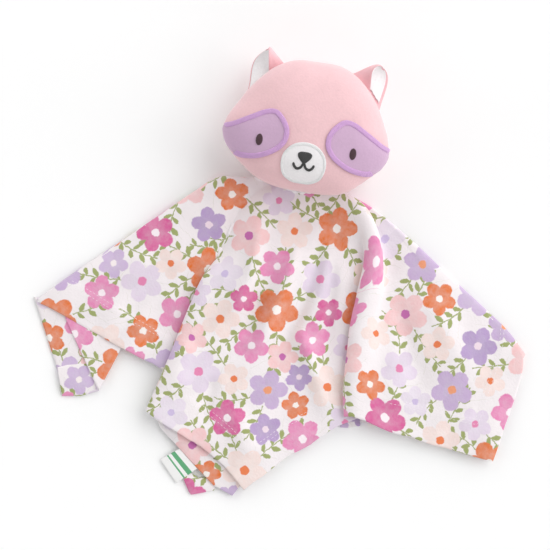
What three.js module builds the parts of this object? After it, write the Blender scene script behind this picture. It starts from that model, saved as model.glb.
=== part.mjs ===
// Comfort blanket lovey: a square of printed velour, folded as it lies on a table, sewn at its
// centre to a stuffed raccoon head. Lengths are in millimetres and angles in degrees. +Z is up,
// +Y runs from the blanket to the head, and the origin lies on the table under the neck.
import * as THREE from 'three';
import { mergeVertices } from 'three/addons/utils/BufferGeometryUtils.js';

// Clearances shared by every pair of pieces that touch
const FIT = {
  gap: 0.3,
  weldStep: 0.001,
};

// The stuffed head: two velour panels round a ball of fibre
const HEAD = {
  width: 124,
  height: 97.2,
  frontDepth: 28.5,
  backDepth: 27.5,
  restFlat: 0.5,
  wall: 1.6,
  seamThread: 0.5,
  seamInset: 0.2,
  tiltAngle: -9,
  frontSquareness: 2.4,
  backSquareness: 2.0,
  columns: 40,
  rows: 9,
};
// Outline of the head from chin to crown, each a share of the plain oval at equal steps of angle
const outlineShares = [
  0.971, 0.994, 1.013, 1.01, 1.024, 1.031, 0.97, 0.917, 0.918, 0.95, 1.008, 1.048, 1.029,
];

// Each ear: a leaf folded lengthwise, velour behind and satin velour inside
const EAR = {
  innerRootAngle: 65,
  outerRootAngle: 28,
  length: 18.5,
  leanAngle: 83,
  rootGap: 0.8,
  rootDepth: 0.9,
  depth: 6.5,
  belly: 8,
  back: 1.1,
  lining: 0.8,
  columns: 14,
  rows: 7,
};
const earFullness = 1.5;
const earShares = {
  tipRoot: 0.35,
  nearRoot: 0.33,
  liningSide: 0.9,
  liningLow: 0.16,
  liningHigh: 0.86,
};

// Dark patches round the eyes, with satin-stitched borders on their inner sides
const EYE_PATCH = {
  cheekInset: 25,
  chinHeight: 36.2,
  halfLength: 24,
  halfHeight: 18,
  thickness: 0.7,
  border: 3.4,
  borderRise: 0.7,
  columns: 34,
  rows: 8,
};
const eyePatchShares = [
  [0.96, 0.19], [0.73, 0.36], [0.21, 0.66], [-0.27, 1.01], [-0.6, 0.94], [-0.92, 0.47],
  [-0.97, 0.14], [-0.9, -0.22], [-0.65, -0.61], [-0.21, -0.91], [0.22, -1.0], [0.5, -0.93],
  [0.71, -0.69], [0.9, -0.22],
];
const eyeBorderShares = { start: 0, end: 0.857 };

const EYE = { inset: 2.25, drop: 4.2, halfWidth: 2.5, halfHeight: 4.15, rise: 0.8, columns: 14, rows: 2 };

// White muzzle with its stitched border, nose and mouth
const MUZZLE = {
  chinHeight: 19.7,
  halfWidth: 16.4,
  halfHeight: 15.1,
  thickness: 0.8,
  border: 2.4,
  borderRise: 0.7,
  columns: 28,
  rows: 5,
};
const muzzleShares = [
  [0, 1], [0.52, 0.87], [0.9, 0.45], [1, -0.1], [0.84, -0.66], [0.44, -0.94],
  [0, -0.98], [-0.44, -0.94], [-0.84, -0.66], [-1, -0.1], [-0.9, 0.45], [-0.52, 0.87],
];
const NOSE = { lift: 4.9, halfWidth: 5.2, halfHeight: 4.2, rise: 1.6, columns: 18, rows: 3 };
const noseShares = [
  [0, 0.86], [0.6, 1], [1, 0.62], [0.78, -0.02], [0.32, -0.76], [0, -1],
  [-0.32, -0.76], [-0.78, -0.02], [-1, 0.62], [-0.6, 1],
];
const MOUTH = { offset: 0.1, halfWidth: 7.7, drop: 4, thread: 1.2, rise: 0.6, columns: 10 };
const mouthShares = [[1, 0], [0.86, -0.6], [0.5, -1], [0.2, -0.72], [0.1, 0.1]];

// The gathered cloth of the neck, in the wedge under the chin
const NECK = {
  chinInset: 7.2,
  originOffset: 5.5,
  halfWidth: 12,
  halfDepth: 6.5,
  base: 6.2,
  top: 13,
  thread: 0.8,
  threadWidth: 1.6,
  columns: 24,
  rows: 3,
};

// The blanket cloth: one square, its front half fanned out over its back half
const CLOTH = {
  side: 350,
  crest: 14,
  backLayer: 2.6,
  hemDepth: 23,
  foldStep: 0.5,
  neckRadius: 4,
  neckBack: 4,
  neckLift: 5,
  rows: 18,
  hemRows: 1,
};
const gatherShare = 0.25;
const swingPower = 1.8;
const liftStationShares = [0, 0.1, 0.32, 0.5, 0.7, 1];

// Straight lines from the neck to the hem. Bearing is where the line meets the hem, and swing is
// how far it has turned from there near the neck. Hem and under are the reaches of the front and
// back layers, as shares of the half diagonal. Lift is the height at each station, as a share of
// the crest.
const ribShares = [
  { bearing: 204.3, swing: -46, hem: 0.893, under: 0.899, lift: [0.4, 0.41, 0.5, 0.45, 0.41, 0.4] },
  { bearing: 207.0, swing: -46, hem: 0.865, under: 0.907, lift: [0.4, 0.42, 0.72, 0.62, 0.48, 0.4] },
  { bearing: 212.0, swing: -46, hem: 0.826, under: 0.922, lift: [0.4, 0.42, 0.84, 0.7, 0.5, 0.4] },
  { bearing: 217.5, swing: -45, hem: 0.79, under: 0.948, lift: [0.4, 0.42, 0.82, 0.7, 0.5, 0.4] },
  { bearing: 222.4, swing: -44, hem: 0.766, under: 0.988, lift: [0.4, 0.42, 0.72, 0.62, 0.47, 0.4] },
  { bearing: 224.8, swing: -43, hem: 0.752, under: 0.953, lift: [0.4, 0.42, 0.62, 0.55, 0.45, 0.4] },
  { bearing: 226.7, swing: -42, hem: 0.743, under: 0.897, lift: [0.4, 0.42, 0.54, 0.5, 0.43, 0.4] },
  { bearing: 227.6, swing: -41, hem: 0.739, under: 0.751, lift: [0.4, 0.42, 0.5, 0.46, 0.42, 0.4] },
  { bearing: 234.0, swing: -40, hem: 0.725, under: 0.731, lift: [0.4, 0.42, 0.4, 0.4, 0.4, 0.4] },
  { bearing: 236.2, swing: -41, hem: 0.857, under: 0.865, lift: [0.4, 0.42, 0.44, 0.76, 0.78, 0.74] },
  { bearing: 240.9, swing: -36, hem: 0.88, under: 0.893, lift: [0.4, 0.42, 0.55, 0.86, 0.84, 0.66] },
  { bearing: 246.0, swing: -30, hem: 0.902, under: 0.941, lift: [0.4, 0.42, 0.76, 0.84, 0.76, 0.62] },
  { bearing: 250.6, swing: -24, hem: 0.938, under: 1.026, lift: [0.4, 0.42, 0.82, 0.76, 0.7, 0.6] },
  { bearing: 253.2, swing: -19, hem: 0.962, under: 1.006, lift: [0.4, 0.42, 0.8, 0.71, 0.67, 0.57] },
  { bearing: 255.6, swing: -14, hem: 0.982, under: 0.99, lift: [0.4, 0.42, 0.79, 0.68, 0.64, 0.55] },
  { bearing: 257.8, swing: -9, hem: 0.998, under: 1.006, lift: [0.4, 0.42, 0.78, 0.67, 0.63, 0.53] },
  { bearing: 262.3, swing: 0, hem: 0.924, under: 0.931, lift: [0.4, 0.42, 0.77, 0.66, 0.61, 0.48] },
  { bearing: 267.5, swing: 10, hem: 0.855, under: 0.869, lift: [0.4, 0.42, 0.76, 0.65, 0.57, 0.43] },
  { bearing: 273.5, swing: 24, hem: 0.794, under: 0.81, lift: [0.4, 0.42, 0.72, 0.6, 0.5, 0.41] },
  { bearing: 279.0, swing: 42, hem: 0.756, under: 0.768, lift: [0.4, 0.42, 0.58, 0.44, 0.46, 0.42] },
  { bearing: 280.4, swing: 64, hem: 0.735, under: 0.745, lift: [0.4, 0.42, 0.68, 1.02, 1.1, 0.84] },
  { bearing: 283.0, swing: 68, hem: 0.756, under: 0.764, lift: [0.4, 0.42, 0.86, 1.14, 1.04, 0.84] },
  { bearing: 286.6, swing: 70, hem: 0.792, under: 0.8, lift: [0.4, 0.42, 1.12, 0.98, 0.76, 0.66] },
  { bearing: 292.0, swing: 66, hem: 0.848, under: 0.857, lift: [0.4, 0.42, 1, 0.66, 0.6, 0.5] },
  { bearing: 298.7, swing: 56, hem: 0.944, under: 0.952, lift: [0.4, 0.42, 0.64, 0.5, 0.54, 0.42] },
  { bearing: 304.2, swing: 48, hem: 1.051, under: 1.058, lift: [0.4, 0.42, 0.5, 0.5, 0.55, 0.4] },
  { bearing: 308.4, swing: 42, hem: 0.989, under: 0.996, lift: [0.4, 0.42, 0.48, 0.5, 0.53, 0.4] },
  { bearing: 315.2, swing: 34, hem: 0.931, under: 0.937, lift: [0.4, 0.42, 0.46, 0.47, 0.45, 0.4] },
  { bearing: 321.7, swing: 26, hem: 0.874, under: 0.881, lift: [0.4, 0.41, 0.42, 0.42, 0.41, 0.4] },
];

// Main folds, which run slantwise over the ribs. Rise is a ridge's height above the cloth round it,
// less than nothing for a valley, and width how far off it has nearly gone, as shares of the crest.
// The line runs through places measured from the neck, as shares of the half diagonal.
const foldShares = [
  { rise: 0.39, width: 0.46, line: [[-0.117, -0.117], [-0.158, -0.311], [-0.23, -0.453]] },
  { rise: 0.46, width: 0.46, line: [[-0.004, -0.21], [-0.085, -0.416], [-0.158, -0.549]] },
  { rise: 0.43, width: 0.5, line: [[-0.012, -0.453], [0.044, -0.606], [0.101, -0.743]] },
  { rise: -0.32, width: 0.43, line: [[0.069, -0.178], [-0.02, -0.453], [-0.097, -0.586]] },
  { rise: -0.21, width: 0.36, line: [[0.101, -0.242], [0.085, -0.436], [0.089, -0.606]] },
  { rise: -0.25, width: 0.43, line: [[-0.109, -0.356], [-0.17, -0.501]] },
  { rise: 0.25, width: 0.57, line: [[-0.339, -0.493], [-0.396, -0.667]] },
  { rise: -0.18, width: 0.43, line: [[-0.267, -0.606], [-0.299, -0.768]] },
  { rise: 0.21, width: 0.64, line: [[-0.222, -0.711], [-0.129, -0.857]] },
  { rise: 0.18, width: 0.64, line: [[-0.453, -0.234], [-0.646, -0.339]] },
  { rise: -0.18, width: 0.5, line: [[-0.372, -0.267], [-0.566, -0.412]] },
  { rise: 0.18, width: 0.57, line: [[-0.356, -0.339], [-0.509, -0.493]] },
  { rise: 0.2, width: 0.71, line: [[0.388, -0.372], [0.517, -0.614]] },
  { rise: -0.16, width: 0.57, line: [[0.291, -0.372], [0.38, -0.679]] },
  { rise: 0.14, width: 0.64, line: [[0.291, -0.525], [0.283, -0.727]] },
];
const foldCover = 0.57;

const stitchRunShares = {
  left: [0.036, 0.25],
  centre: [0.571, 0.679],
  right: [0.75, 0.964],
};
const STITCH = { width: 1.6, rise: 0.5 };

// White satin tag, a flat loop sewn into the hem
const TAG = { width: 20.5, length: 18, thickness: 1, seatGap: 0.8 };
const tagRibShares = { before: 0.393, after: 0.429 };
const tagAlongShare = 0.5;

const COLOURS = {
  pink: { color: 0xf4bec4, roughness: 0.9, metalness: 0 },
  white: { color: 0xf3f0f1, roughness: 0.9, metalness: 0 },
  fibre: { color: 0xf6f4f0, roughness: 1, metalness: 0 },
  lavender: { color: 0xcba9cc, roughness: 0.9, metalness: 0 },
  lavenderThread: { color: 0xc79ad9, roughness: 0.6, metalness: 0 },
  darkThread: { color: 0x4a3038, roughness: 0.6, metalness: 0 },
  charcoalThread: { color: 0x3a3a3a, roughness: 0.6, metalness: 0 },
  whiteThread: { color: 0xf7f6f6, roughness: 0.6, metalness: 0 },
  printedCloth: { color: 0xf2dfe6, roughness: 0.9, metalness: 0 },
  satin: { color: 0xf4f4f2, roughness: 0.45, metalness: 0 },
};

const radians = THREE.MathUtils.degToRad;
const lerp = THREE.MathUtils.lerp;
const part = new THREE.Group();

// A closed body between an upper and a lower surface over one grid. A wrapped grid closes on
// itself across its columns, as a disc or a ring does, and an open one gets a wall at each end.
function closedBody({ columns, rows, upper, lower, wrapped = false }) {
  const across = wrapped ? columns : columns + 1;
  const positions = [];
  for (const surface of [upper, lower]) {
    for (let row = 0; row <= rows; row += 1) {
      for (let column = 0; column < across; column += 1) {
        positions.push(...surface(column / columns, row / rows).toArray());
      }
    }
  }
  const layer = across * (rows + 1);
  const at = (column, row, level) => level * layer + row * across + (column % across);
  const faces = [];
  const quad = (a, b, c, d) => faces.push([a, b, c], [a, c, d]);
  for (let row = 0; row < rows; row += 1) {
    for (let column = 0; column < columns; column += 1) {
      quad(at(column, row, 0), at(column + 1, row, 0), at(column + 1, row + 1, 0), at(column, row + 1, 0));
      quad(at(column, row, 1), at(column, row + 1, 1), at(column + 1, row + 1, 1), at(column + 1, row, 1));
    }
  }
  for (let column = 0; column < columns; column += 1) {
    quad(at(column, 0, 1), at(column + 1, 0, 1), at(column + 1, 0, 0), at(column, 0, 0));
    quad(at(column, rows, 0), at(column + 1, rows, 0), at(column + 1, rows, 1), at(column, rows, 1));
  }
  if (!wrapped) {
    for (let row = 0; row < rows; row += 1) {
      quad(at(0, row, 0), at(0, row + 1, 0), at(0, row + 1, 1), at(0, row, 1));
      quad(at(columns, row, 1), at(columns, row + 1, 1), at(columns, row + 1, 0), at(columns, row, 0));
    }
  }
  return solidFrom(positions, faces);
}

// Welds points that coincide, drops faces without area and turns the faces outwards
function solidFrom(positions, faces) {
  const loose = new THREE.BufferGeometry();
  loose.setAttribute('position', new THREE.Float32BufferAttribute(positions, 3));
  loose.setIndex(faces.flat());
  const welded = mergeVertices(loose, FIT.weldStep);
  const index = welded.getIndex().array;
  const place = welded.getAttribute('position');
  const corner = (n) => new THREE.Vector3().fromBufferAttribute(place, n);
  const kept = [];
  let volume = 0;
  for (let first = 0; first < index.length; first += faces[0].length) {
    const [a, b, c] = [index[first], index[first + 1], index[first + 2]];
    if (a === b || b === c || a === c) continue;
    kept.push(a, b, c);
    volume += corner(a).dot(corner(b).cross(corner(c)));
  }
  welded.setIndex(volume < 0 ? kept.reverse() : kept);
  welded.computeVertexNormals();
  return welded;
}

function addPiece(group, name, finish, geometry) {
  const mesh = new THREE.Mesh(geometry, new THREE.MeshStandardMaterial(COLOURS[finish]));
  mesh.name = name;
  group.add(mesh);
  return mesh;
}

// Value at a place from 0 to 1 along a row of hand-chosen values, as a smooth curve level at its ends
function smoothValue(values, share) {
  const place = THREE.MathUtils.clamp(share, 0, 1) * (values.length - 1);
  const first = Math.min(Math.floor(place), values.length - 2);
  const between = place - first;
  const last = values.length - 1;
  const pick = (n) => values[last - Math.abs(last - Math.abs(n))];
  const [p, q, r, s] = [pick(first - 1), pick(first), pick(first + 1), pick(first + 2)];
  const slopeIn = (r - p) / 2;
  const slopeOut = (s - q) / 2;
  const square = between * between;
  const cube = square * between;
  return (
    q * (2 * cube - 3 * square + 1) + slopeIn * (cube - 2 * square + between)
    + r * (3 * square - 2 * cube) + slopeOut * (cube - square)
  );
}

// The head's surface. Beta runs round the outline and latitude from the middle to the seam.
const FRONT = { facing: 1, depth: HEAD.frontDepth, squareness: HEAD.frontSquareness };
const BACK = { facing: -1, depth: HEAD.backDepth, squareness: HEAD.backSquareness };
const chinBelow = (HEAD.height / 2) * outlineShares[0];
const neckBelow = chinBelow - NECK.chinInset;
const seamHalf = FIT.gap + HEAD.seamThread / 2;
const seamHeight = HEAD.backDepth - HEAD.restFlat + seamHalf;

function outlineShare(beta) {
  const chinInset = Math.acos(THREE.MathUtils.clamp(-Math.sin(beta), -1, 1));
  return smoothValue(outlineShares, chinInset / Math.PI);
}

function headPoint(beta, latitude, side, grow) {
  const share = outlineShare(beta);
  const spread = share * Math.sin(latitude) ** (2 / side.squareness);
  const rise = Math.max(Math.cos(latitude), 0) ** (2 / side.squareness);
  const lowest = side.facing < 0 ? side.depth - HEAD.restFlat + grow : side.depth + grow;
  const height = Math.min((side.depth + grow) * rise, lowest);
  return new THREE.Vector3(
    (HEAD.width / 2 + grow) * spread * Math.cos(beta),
    (HEAD.height / 2 + grow) * spread * Math.sin(beta),
    side.facing * (height + seamHalf),
  );
}

// The point of the head's surface over a place on the face, grown outwards
function facePoint(x, y, side, grow) {
  const across = x / (HEAD.width / 2);
  const along = y / (HEAD.height / 2);
  const beta = Math.atan2(along, across);
  const reach = Math.min(Math.hypot(across, along) / outlineShare(beta), 1);
  return headPoint(beta, Math.asin(reach ** (side.squareness / 2)), side, grow);
}

const head = new THREE.Group();
head.rotation.z = radians(HEAD.tiltAngle);
head.position.set(0, neckBelow - NECK.originOffset, 0).applyEuler(head.rotation);
head.position.z = seamHeight;
part.add(head);

function headPanel(side) {
  const surface = (grow) => (u, v) => headPoint(u * 2 * Math.PI, (v * Math.PI) / 2, side, grow);
  return closedBody({
    columns: HEAD.columns,
    rows: HEAD.rows,
    upper: surface(0),
    lower: surface(-HEAD.wall),
    wrapped: true,
  });
}

function headStuffing() {
  const inset = -(HEAD.wall + FIT.gap);
  const half = (side) => (u, v) => {
    const point = headPoint(u * 2 * Math.PI, (v * Math.PI) / 2, side, inset);
    point.z -= side.facing * seamHalf;
    return point;
  };
  return closedBody({
    columns: HEAD.columns,
    rows: HEAD.rows,
    upper: half(FRONT),
    lower: half(BACK),
    wrapped: true,
  });
}

// The turned and stitched edge that joins the two panels
function headSeam() {
  const level = (z) => (u, v) => {
    const point = headPoint(u * 2 * Math.PI, Math.PI / 2, FRONT, -lerp(HEAD.seamInset, HEAD.wall, v));
    point.z = z;
    return point;
  };
  return closedBody({
    columns: HEAD.columns,
    rows: 1,
    upper: level(HEAD.seamThread / 2),
    lower: level(-HEAD.seamThread / 2),
    wrapped: true,
  });
}

addPiece(head, 'head_front_panel', 'pink', headPanel(FRONT));
addPiece(head, 'head_back_panel', 'pink', headPanel(BACK));
addPiece(head, 'head_stuffing', 'fibre', headStuffing());
addPiece(head, 'head_seam', 'pink', headSeam());

// A closed curve on the face through hand-chosen shares of two half sizes
function faceOutline(shares, halfWidth, halfHeight, centreX, centreY) {
  const points = shares.map(([x, y]) => new THREE.Vector3(
    centreX + x * halfWidth,
    centreY + y * halfHeight,
    0,
  ));
  return new THREE.CatmullRomCurve3(points, true, 'centripetal');
}

// A flat piece laid on the face inside an outline, between two heights over the head's surface
function facePatch({ outline, centre, columns, rows, low, high, dome = 0 }) {
  const level = (grow, crown) => (u, v) => {
    const rim = outline.getPoint(u);
    const rise = grow + crown * (1 - v * v);
    return facePoint(lerp(centre.x, rim.x, v), lerp(centre.y, rim.y, v), FRONT, rise);
  };
  return closedBody({ columns, rows, upper: level(high, dome), lower: level(low, 0), wrapped: true });
}

// A stitched band laid inside an outline, over all of it or from start to end
function faceBand({ outline, width, columns, low, high, start = 0, end = 1 }) {
  const wrapped = start === 0 && end === 1;
  const middle = outline.getPoints(columns).reduce((sum, point) => sum.add(point), new THREE.Vector3())
    .divideScalar(columns + 1);
  const level = (grow) => (u, v) => {
    const share = lerp(start, end, u);
    const rim = outline.getPoint(share);
    const along = outline.getTangent(share);
    const inward = new THREE.Vector3(-along.y, along.x, 0);
    if (inward.dot(middle.clone().sub(rim)) < 0) inward.negate();
    rim.addScaledVector(inward, (1 - v) * width);
    return facePoint(rim.x, rim.y, FRONT, grow);
  };
  return closedBody({ columns, rows: 1, upper: level(high), lower: level(low), wrapped });
}

// A line of thread laid on the face along an open path
function faceThread({ path, width, columns, low, high }) {
  const level = (grow) => (u, v) => {
    const point = path.getPoint(u);
    const along = path.getTangent(u);
    const aside = new THREE.Vector3(-along.y, along.x, 0);
    point.addScaledVector(aside, lerp(-width / 2, width / 2, v));
    return facePoint(point.x, point.y, FRONT, grow);
  };
  return closedBody({ columns, rows: 1, upper: level(high), lower: level(low) });
}

const sides = [
  { name: 'left', sign: -1 },
  { name: 'right', sign: 1 },
];

function addEyes(side) {
  const patchTop = FIT.gap + EYE_PATCH.thickness;
  const mirrored = eyePatchShares.map(([x, y]) => [side.sign * x, y]);
  const aside = HEAD.width / 2 - EYE_PATCH.cheekInset;
  const centre = new THREE.Vector2(side.sign * aside, EYE_PATCH.chinHeight - chinBelow);
  const outline = faceOutline(mirrored, EYE_PATCH.halfLength, EYE_PATCH.halfHeight, centre.x, centre.y);
  addPiece(head, `eye_patch_${side.name}`, 'lavender', facePatch({
    outline,
    centre,
    columns: EYE_PATCH.columns,
    rows: EYE_PATCH.rows,
    low: FIT.gap,
    high: patchTop,
  }));
  addPiece(head, `eye_patch_border_${side.name}`, 'lavenderThread', faceBand({
    outline,
    width: EYE_PATCH.border,
    columns: EYE_PATCH.columns,
    low: patchTop + FIT.gap,
    high: patchTop + FIT.gap + EYE_PATCH.borderRise,
    start: eyeBorderShares.start,
    end: eyeBorderShares.end,
  }));
  const place = new THREE.Vector2(side.sign * (aside - EYE.inset), centre.y - EYE.drop);
  const oval = new THREE.EllipseCurve(place.x, place.y, EYE.halfWidth, EYE.halfHeight);
  addPiece(head, `eye_${side.name}`, 'darkThread', facePatch({
    outline: oval,
    centre: place,
    columns: EYE.columns,
    rows: EYE.rows,
    low: patchTop + FIT.gap,
    high: patchTop + FIT.gap + EYE.rise,
  }));
}

function addMuzzle() {
  const centre = new THREE.Vector2(0, MUZZLE.chinHeight - chinBelow);
  const outline = faceOutline(muzzleShares, MUZZLE.halfWidth, MUZZLE.halfHeight, centre.x, centre.y);
  const top = FIT.gap + MUZZLE.thickness;
  addPiece(head, 'muzzle_patch', 'white', facePatch({
    outline,
    centre,
    columns: MUZZLE.columns,
    rows: MUZZLE.rows,
    low: FIT.gap,
    high: top,
  }));
  addPiece(head, 'muzzle_border', 'whiteThread', faceBand({
    outline,
    width: MUZZLE.border,
    columns: MUZZLE.columns,
    low: top + FIT.gap,
    high: top + FIT.gap + MUZZLE.borderRise,
  }));
  const noseCentre = new THREE.Vector2(0, centre.y + NOSE.lift);
  addPiece(head, 'nose', 'charcoalThread', facePatch({
    outline: faceOutline(noseShares, NOSE.halfWidth, NOSE.halfHeight, noseCentre.x, noseCentre.y),
    centre: noseCentre,
    columns: NOSE.columns,
    rows: NOSE.rows,
    low: top + FIT.gap,
    high: top + FIT.gap + NOSE.rise / 2,
    dome: NOSE.rise / 2,
  }));
  for (const side of sides) {
    const points = mouthShares.map(([x, y]) => new THREE.Vector3(
      side.sign * x * MOUTH.halfWidth,
      centre.y - MOUTH.offset + y * MOUTH.drop,
      0,
    ));
    addPiece(head, `mouth_${side.name}`, 'charcoalThread', faceThread({
      path: new THREE.CatmullRomCurve3(points, false, 'centripetal'),
      width: MOUTH.thread,
      columns: MOUTH.columns,
      low: top + FIT.gap,
      high: top + FIT.gap + MOUTH.rise,
    }));
  }
}

// A folded leaf: u runs from the near rim at -1 round the fold at 0 to the far rim at 1
function earPoint(sign, u, v, offset) {
  const root = (share) => {
    const beta = radians(lerp(EAR.innerRootAngle, EAR.outerRootAngle, share));
    const point = headPoint(beta, Math.PI / 2, FRONT, EAR.rootGap);
    return new THREE.Vector2(point.x, point.y);
  };
  const base = root(u < 0 ? -u * earShares.nearRoot : u);
  const tip = root(earShares.tipRoot);
  tip.x += EAR.length * Math.cos(radians(EAR.leanAngle));
  tip.y += EAR.length * Math.sin(radians(EAR.leanAngle));
  const opening = root(1).sub(root(0)).normalize();
  const chord = tip.clone().sub(base);
  const outward = new THREE.Vector2(chord.y, -chord.x).normalize();
  const swell = Math.sin(Math.PI * v ** earFullness);
  const place = base.clone().addScaledVector(chord, v);
  place.addScaledVector(outward, EAR.belly * swell * Math.max(u, 0) ** 2);
  place.addScaledVector(opening, -offset * Math.cos((u * Math.PI) / 2));
  const half = EAR.rootDepth + (EAR.depth - EAR.rootDepth) * swell;
  const z = -Math.sin((u * Math.PI) / 2) * (half + offset);
  return new THREE.Vector3(sign * place.x, place.y, z);
}

function addEar(side) {
  const sheet = (offset, reach, low, high) => (u, v) => (
    earPoint(side.sign, lerp(-reach, reach, u), lerp(low, high, v), offset)
  );
  addPiece(head, `ear_${side.name}_back`, 'pink', closedBody({
    columns: EAR.columns,
    rows: EAR.rows,
    upper: sheet(EAR.back, 1, 0, 1),
    lower: sheet(0, 1, 0, 1),
  }));
  const { liningSide, liningLow, liningHigh } = earShares;
  addPiece(head, `ear_${side.name}_lining`, 'white', closedBody({
    columns: EAR.columns,
    rows: EAR.rows,
    upper: sheet(-FIT.gap, liningSide, liningLow, liningHigh),
    lower: sheet(-FIT.gap - EAR.lining, liningSide, liningLow, liningHigh),
  }));
}

sides.forEach(addEyes);
addMuzzle();
sides.forEach(addEar);

// The neck: cloth gathered under the chin and the ring of thread that closes it to the head
function neckCeiling(x, y) {
  const under = facePoint(x, y, BACK, 0).z - FIT.gap;
  return Math.min(under, NECK.top - seamHeight);
}

function neckPlace(u, reach) {
  const angle = u * 2 * Math.PI;
  return new THREE.Vector2(
    reach * NECK.halfWidth * Math.cos(angle),
    reach * NECK.halfDepth * Math.sin(angle) - neckBelow,
  );
}

function neckGather() {
  const top = (u, v) => {
    const place = neckPlace(u, v);
    return new THREE.Vector3(place.x, place.y, neckCeiling(place.x, place.y) - NECK.thread - FIT.gap);
  };
  const bottom = (u, v) => {
    const place = neckPlace(u, v);
    return new THREE.Vector3(place.x, place.y, NECK.base - seamHeight);
  };
  return closedBody({ columns: NECK.columns, rows: NECK.rows, upper: top, lower: bottom, wrapped: true });
}

function neckStitching() {
  const inner = 1 - NECK.threadWidth / NECK.halfDepth;
  const level = (drop) => (u, v) => {
    const place = neckPlace(u, lerp(inner, 1, v));
    return new THREE.Vector3(place.x, place.y, neckCeiling(place.x, place.y) - drop);
  };
  return closedBody({
    columns: NECK.columns,
    rows: 1,
    upper: level(0),
    lower: level(NECK.thread),
    wrapped: true,
  });
}

addPiece(head, 'neck_gather', 'printedCloth', neckGather());
addPiece(head, 'neck_stitching', 'whiteThread', neckStitching());

// The blanket. Column picks a rib and row a place along it. The rows run from a point behind the
// neck to the hem stitching, on to the hem, down the step and out to the back layer's own edge.
const halfDiagonal = CLOTH.side / Math.SQRT2;
const hemRow = CLOTH.rows + CLOTH.hemRows;
const clothRows = hemRow + 2;

function ribLift(rib, share) {
  const after = liftStationShares.findIndex((station) => station >= share);
  const before = Math.max(after - 1, 0);
  const width = liftStationShares[after] - liftStationShares[before] || 1;
  const between = (share - liftStationShares[before]) / width;
  return CLOTH.crest * smoothValue(rib.lift, (before + between) / (rib.lift.length - 1));
}

function ribPlace(rib, reach) {
  const hem = rib.hem * halfDiagonal;
  const share = Math.min((reach - CLOTH.neckRadius) / (hem - CLOTH.neckRadius), 1);
  const turned = rib.swing * (1 - Math.max(share, gatherShare)) ** swingPower;
  const bearing = radians(rib.bearing + turned);
  return new THREE.Vector3(reach * Math.cos(bearing), reach * Math.sin(bearing), 0);
}

// Distance on the table from a place to a line of straight stretches
function lineDistance(place, line) {
  const ends = line.map(([x, y]) => new THREE.Vector3(x, y, 0).multiplyScalar(halfDiagonal));
  const nearest = new THREE.Vector3();
  const away = ends.slice(1).map((end, i) => {
    new THREE.Line3(ends[i], end).closestPointToPoint(place, true, nearest);
    return nearest.distanceTo(place);
  });
  return Math.min(...away);
}

// Height that the main folds add at a place where the cloth lies at a height
function foldRise(place, height) {
  const bell = (fold) => Math.exp(-((lineDistance(place, fold.line) / (fold.width * CLOTH.crest)) ** 2));
  const total = foldShares.reduce((sum, fold) => sum + fold.rise * bell(fold), 0);
  return total * CLOTH.crest * THREE.MathUtils.smoothstep(height, CLOTH.backLayer, foldCover * CLOTH.crest);
}

function clothPoint(column, row) {
  if (row === 0) return new THREE.Vector3(0, CLOTH.neckBack, CLOTH.neckLift);
  const rib = ribShares[column];
  const hem = rib.hem * halfDiagonal;
  const stitched = hem - CLOTH.hemDepth;
  const reachAt = () => {
    if (row <= CLOTH.rows) return lerp(CLOTH.neckRadius, stitched, (row - 1) / (CLOTH.rows - 1));
    if (row <= hemRow) return lerp(stitched, hem, (row - CLOTH.rows) / CLOTH.hemRows);
    return row === clothRows ? rib.under * halfDiagonal : hem + CLOTH.foldStep;
  };
  const reach = reachAt();
  const point = ribPlace(rib, reach);
  const share = (reach - CLOTH.neckRadius) / (hem - CLOTH.neckRadius);
  const height = ribLift(rib, share);
  point.z = row > hemRow ? CLOTH.backLayer : height + foldRise(point, height);
  return point;
}

function blanketCloth() {
  const columns = ribShares.length - 1;
  const top = (u, v) => clothPoint(Math.round(u * columns), Math.round(v * clothRows));
  const bottom = (u, v) => top(u, v).setZ(0);
  return closedBody({ columns, rows: clothRows, upper: top, lower: bottom });
}

addPiece(part, 'blanket_cloth', 'printedCloth', blanketCloth());

const ribAt = (share) => Math.round(share * (ribShares.length - 1));

// A run of hem stitching on the cloth, over the row of points that lies a hem's depth in
function hemStitching(run) {
  const [first, last] = run.map(ribAt);
  const level = (rise) => (u, v) => {
    const column = Math.round(lerp(first, last, u));
    const point = clothPoint(column, CLOTH.rows);
    const outward = clothPoint(column, CLOTH.rows + 1).sub(point).setZ(0).normalize();
    point.addScaledVector(outward, lerp(-STITCH.width / 2, STITCH.width / 2, v));
    point.z += FIT.gap + rise;
    return point;
  };
  return closedBody({ columns: last - first, rows: 1, upper: level(STITCH.rise), lower: level(0) });
}

for (const [name, run] of Object.entries(stitchRunShares)) {
  addPiece(part, `hem_stitching_${name}`, 'whiteThread', hemStitching(run));
}

// The tag lies on the back layer, against the turned edge between two ribs
function addTag() {
  const before = clothPoint(ribAt(tagRibShares.before), clothRows - 1);
  const after = clothPoint(ribAt(tagRibShares.after), clothRows - 1);
  const along = after.clone().sub(before).normalize();
  const outward = new THREE.Vector3(along.y, -along.x, 0);
  const middle = before.clone().lerp(after, tagAlongShare);
  if (outward.dot(middle) < 0) outward.negate();
  const plate = new THREE.BoxGeometry(TAG.width, TAG.length, TAG.thickness);
  const tag = addPiece(part, 'side_tag', 'satin', plate);
  tag.rotation.z = Math.atan2(along.y, along.x);
  tag.position.copy(middle).addScaledVector(outward, TAG.seatGap + TAG.length / 2);
  tag.position.z = CLOTH.backLayer + FIT.gap + TAG.thickness / 2;
}

addTag();

export default part;
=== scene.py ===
"""Comfort blanket lovey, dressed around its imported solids.

A square of flower-printed velour lies folded on a pale table, sewn at its centre to a flat
stuffed raccoon head. Lengths are in millimetres until they reach a mesh, which is in metres.
"""

import logging
import math
from collections.abc import Callable
from dataclasses import dataclass
from enum import Enum

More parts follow.
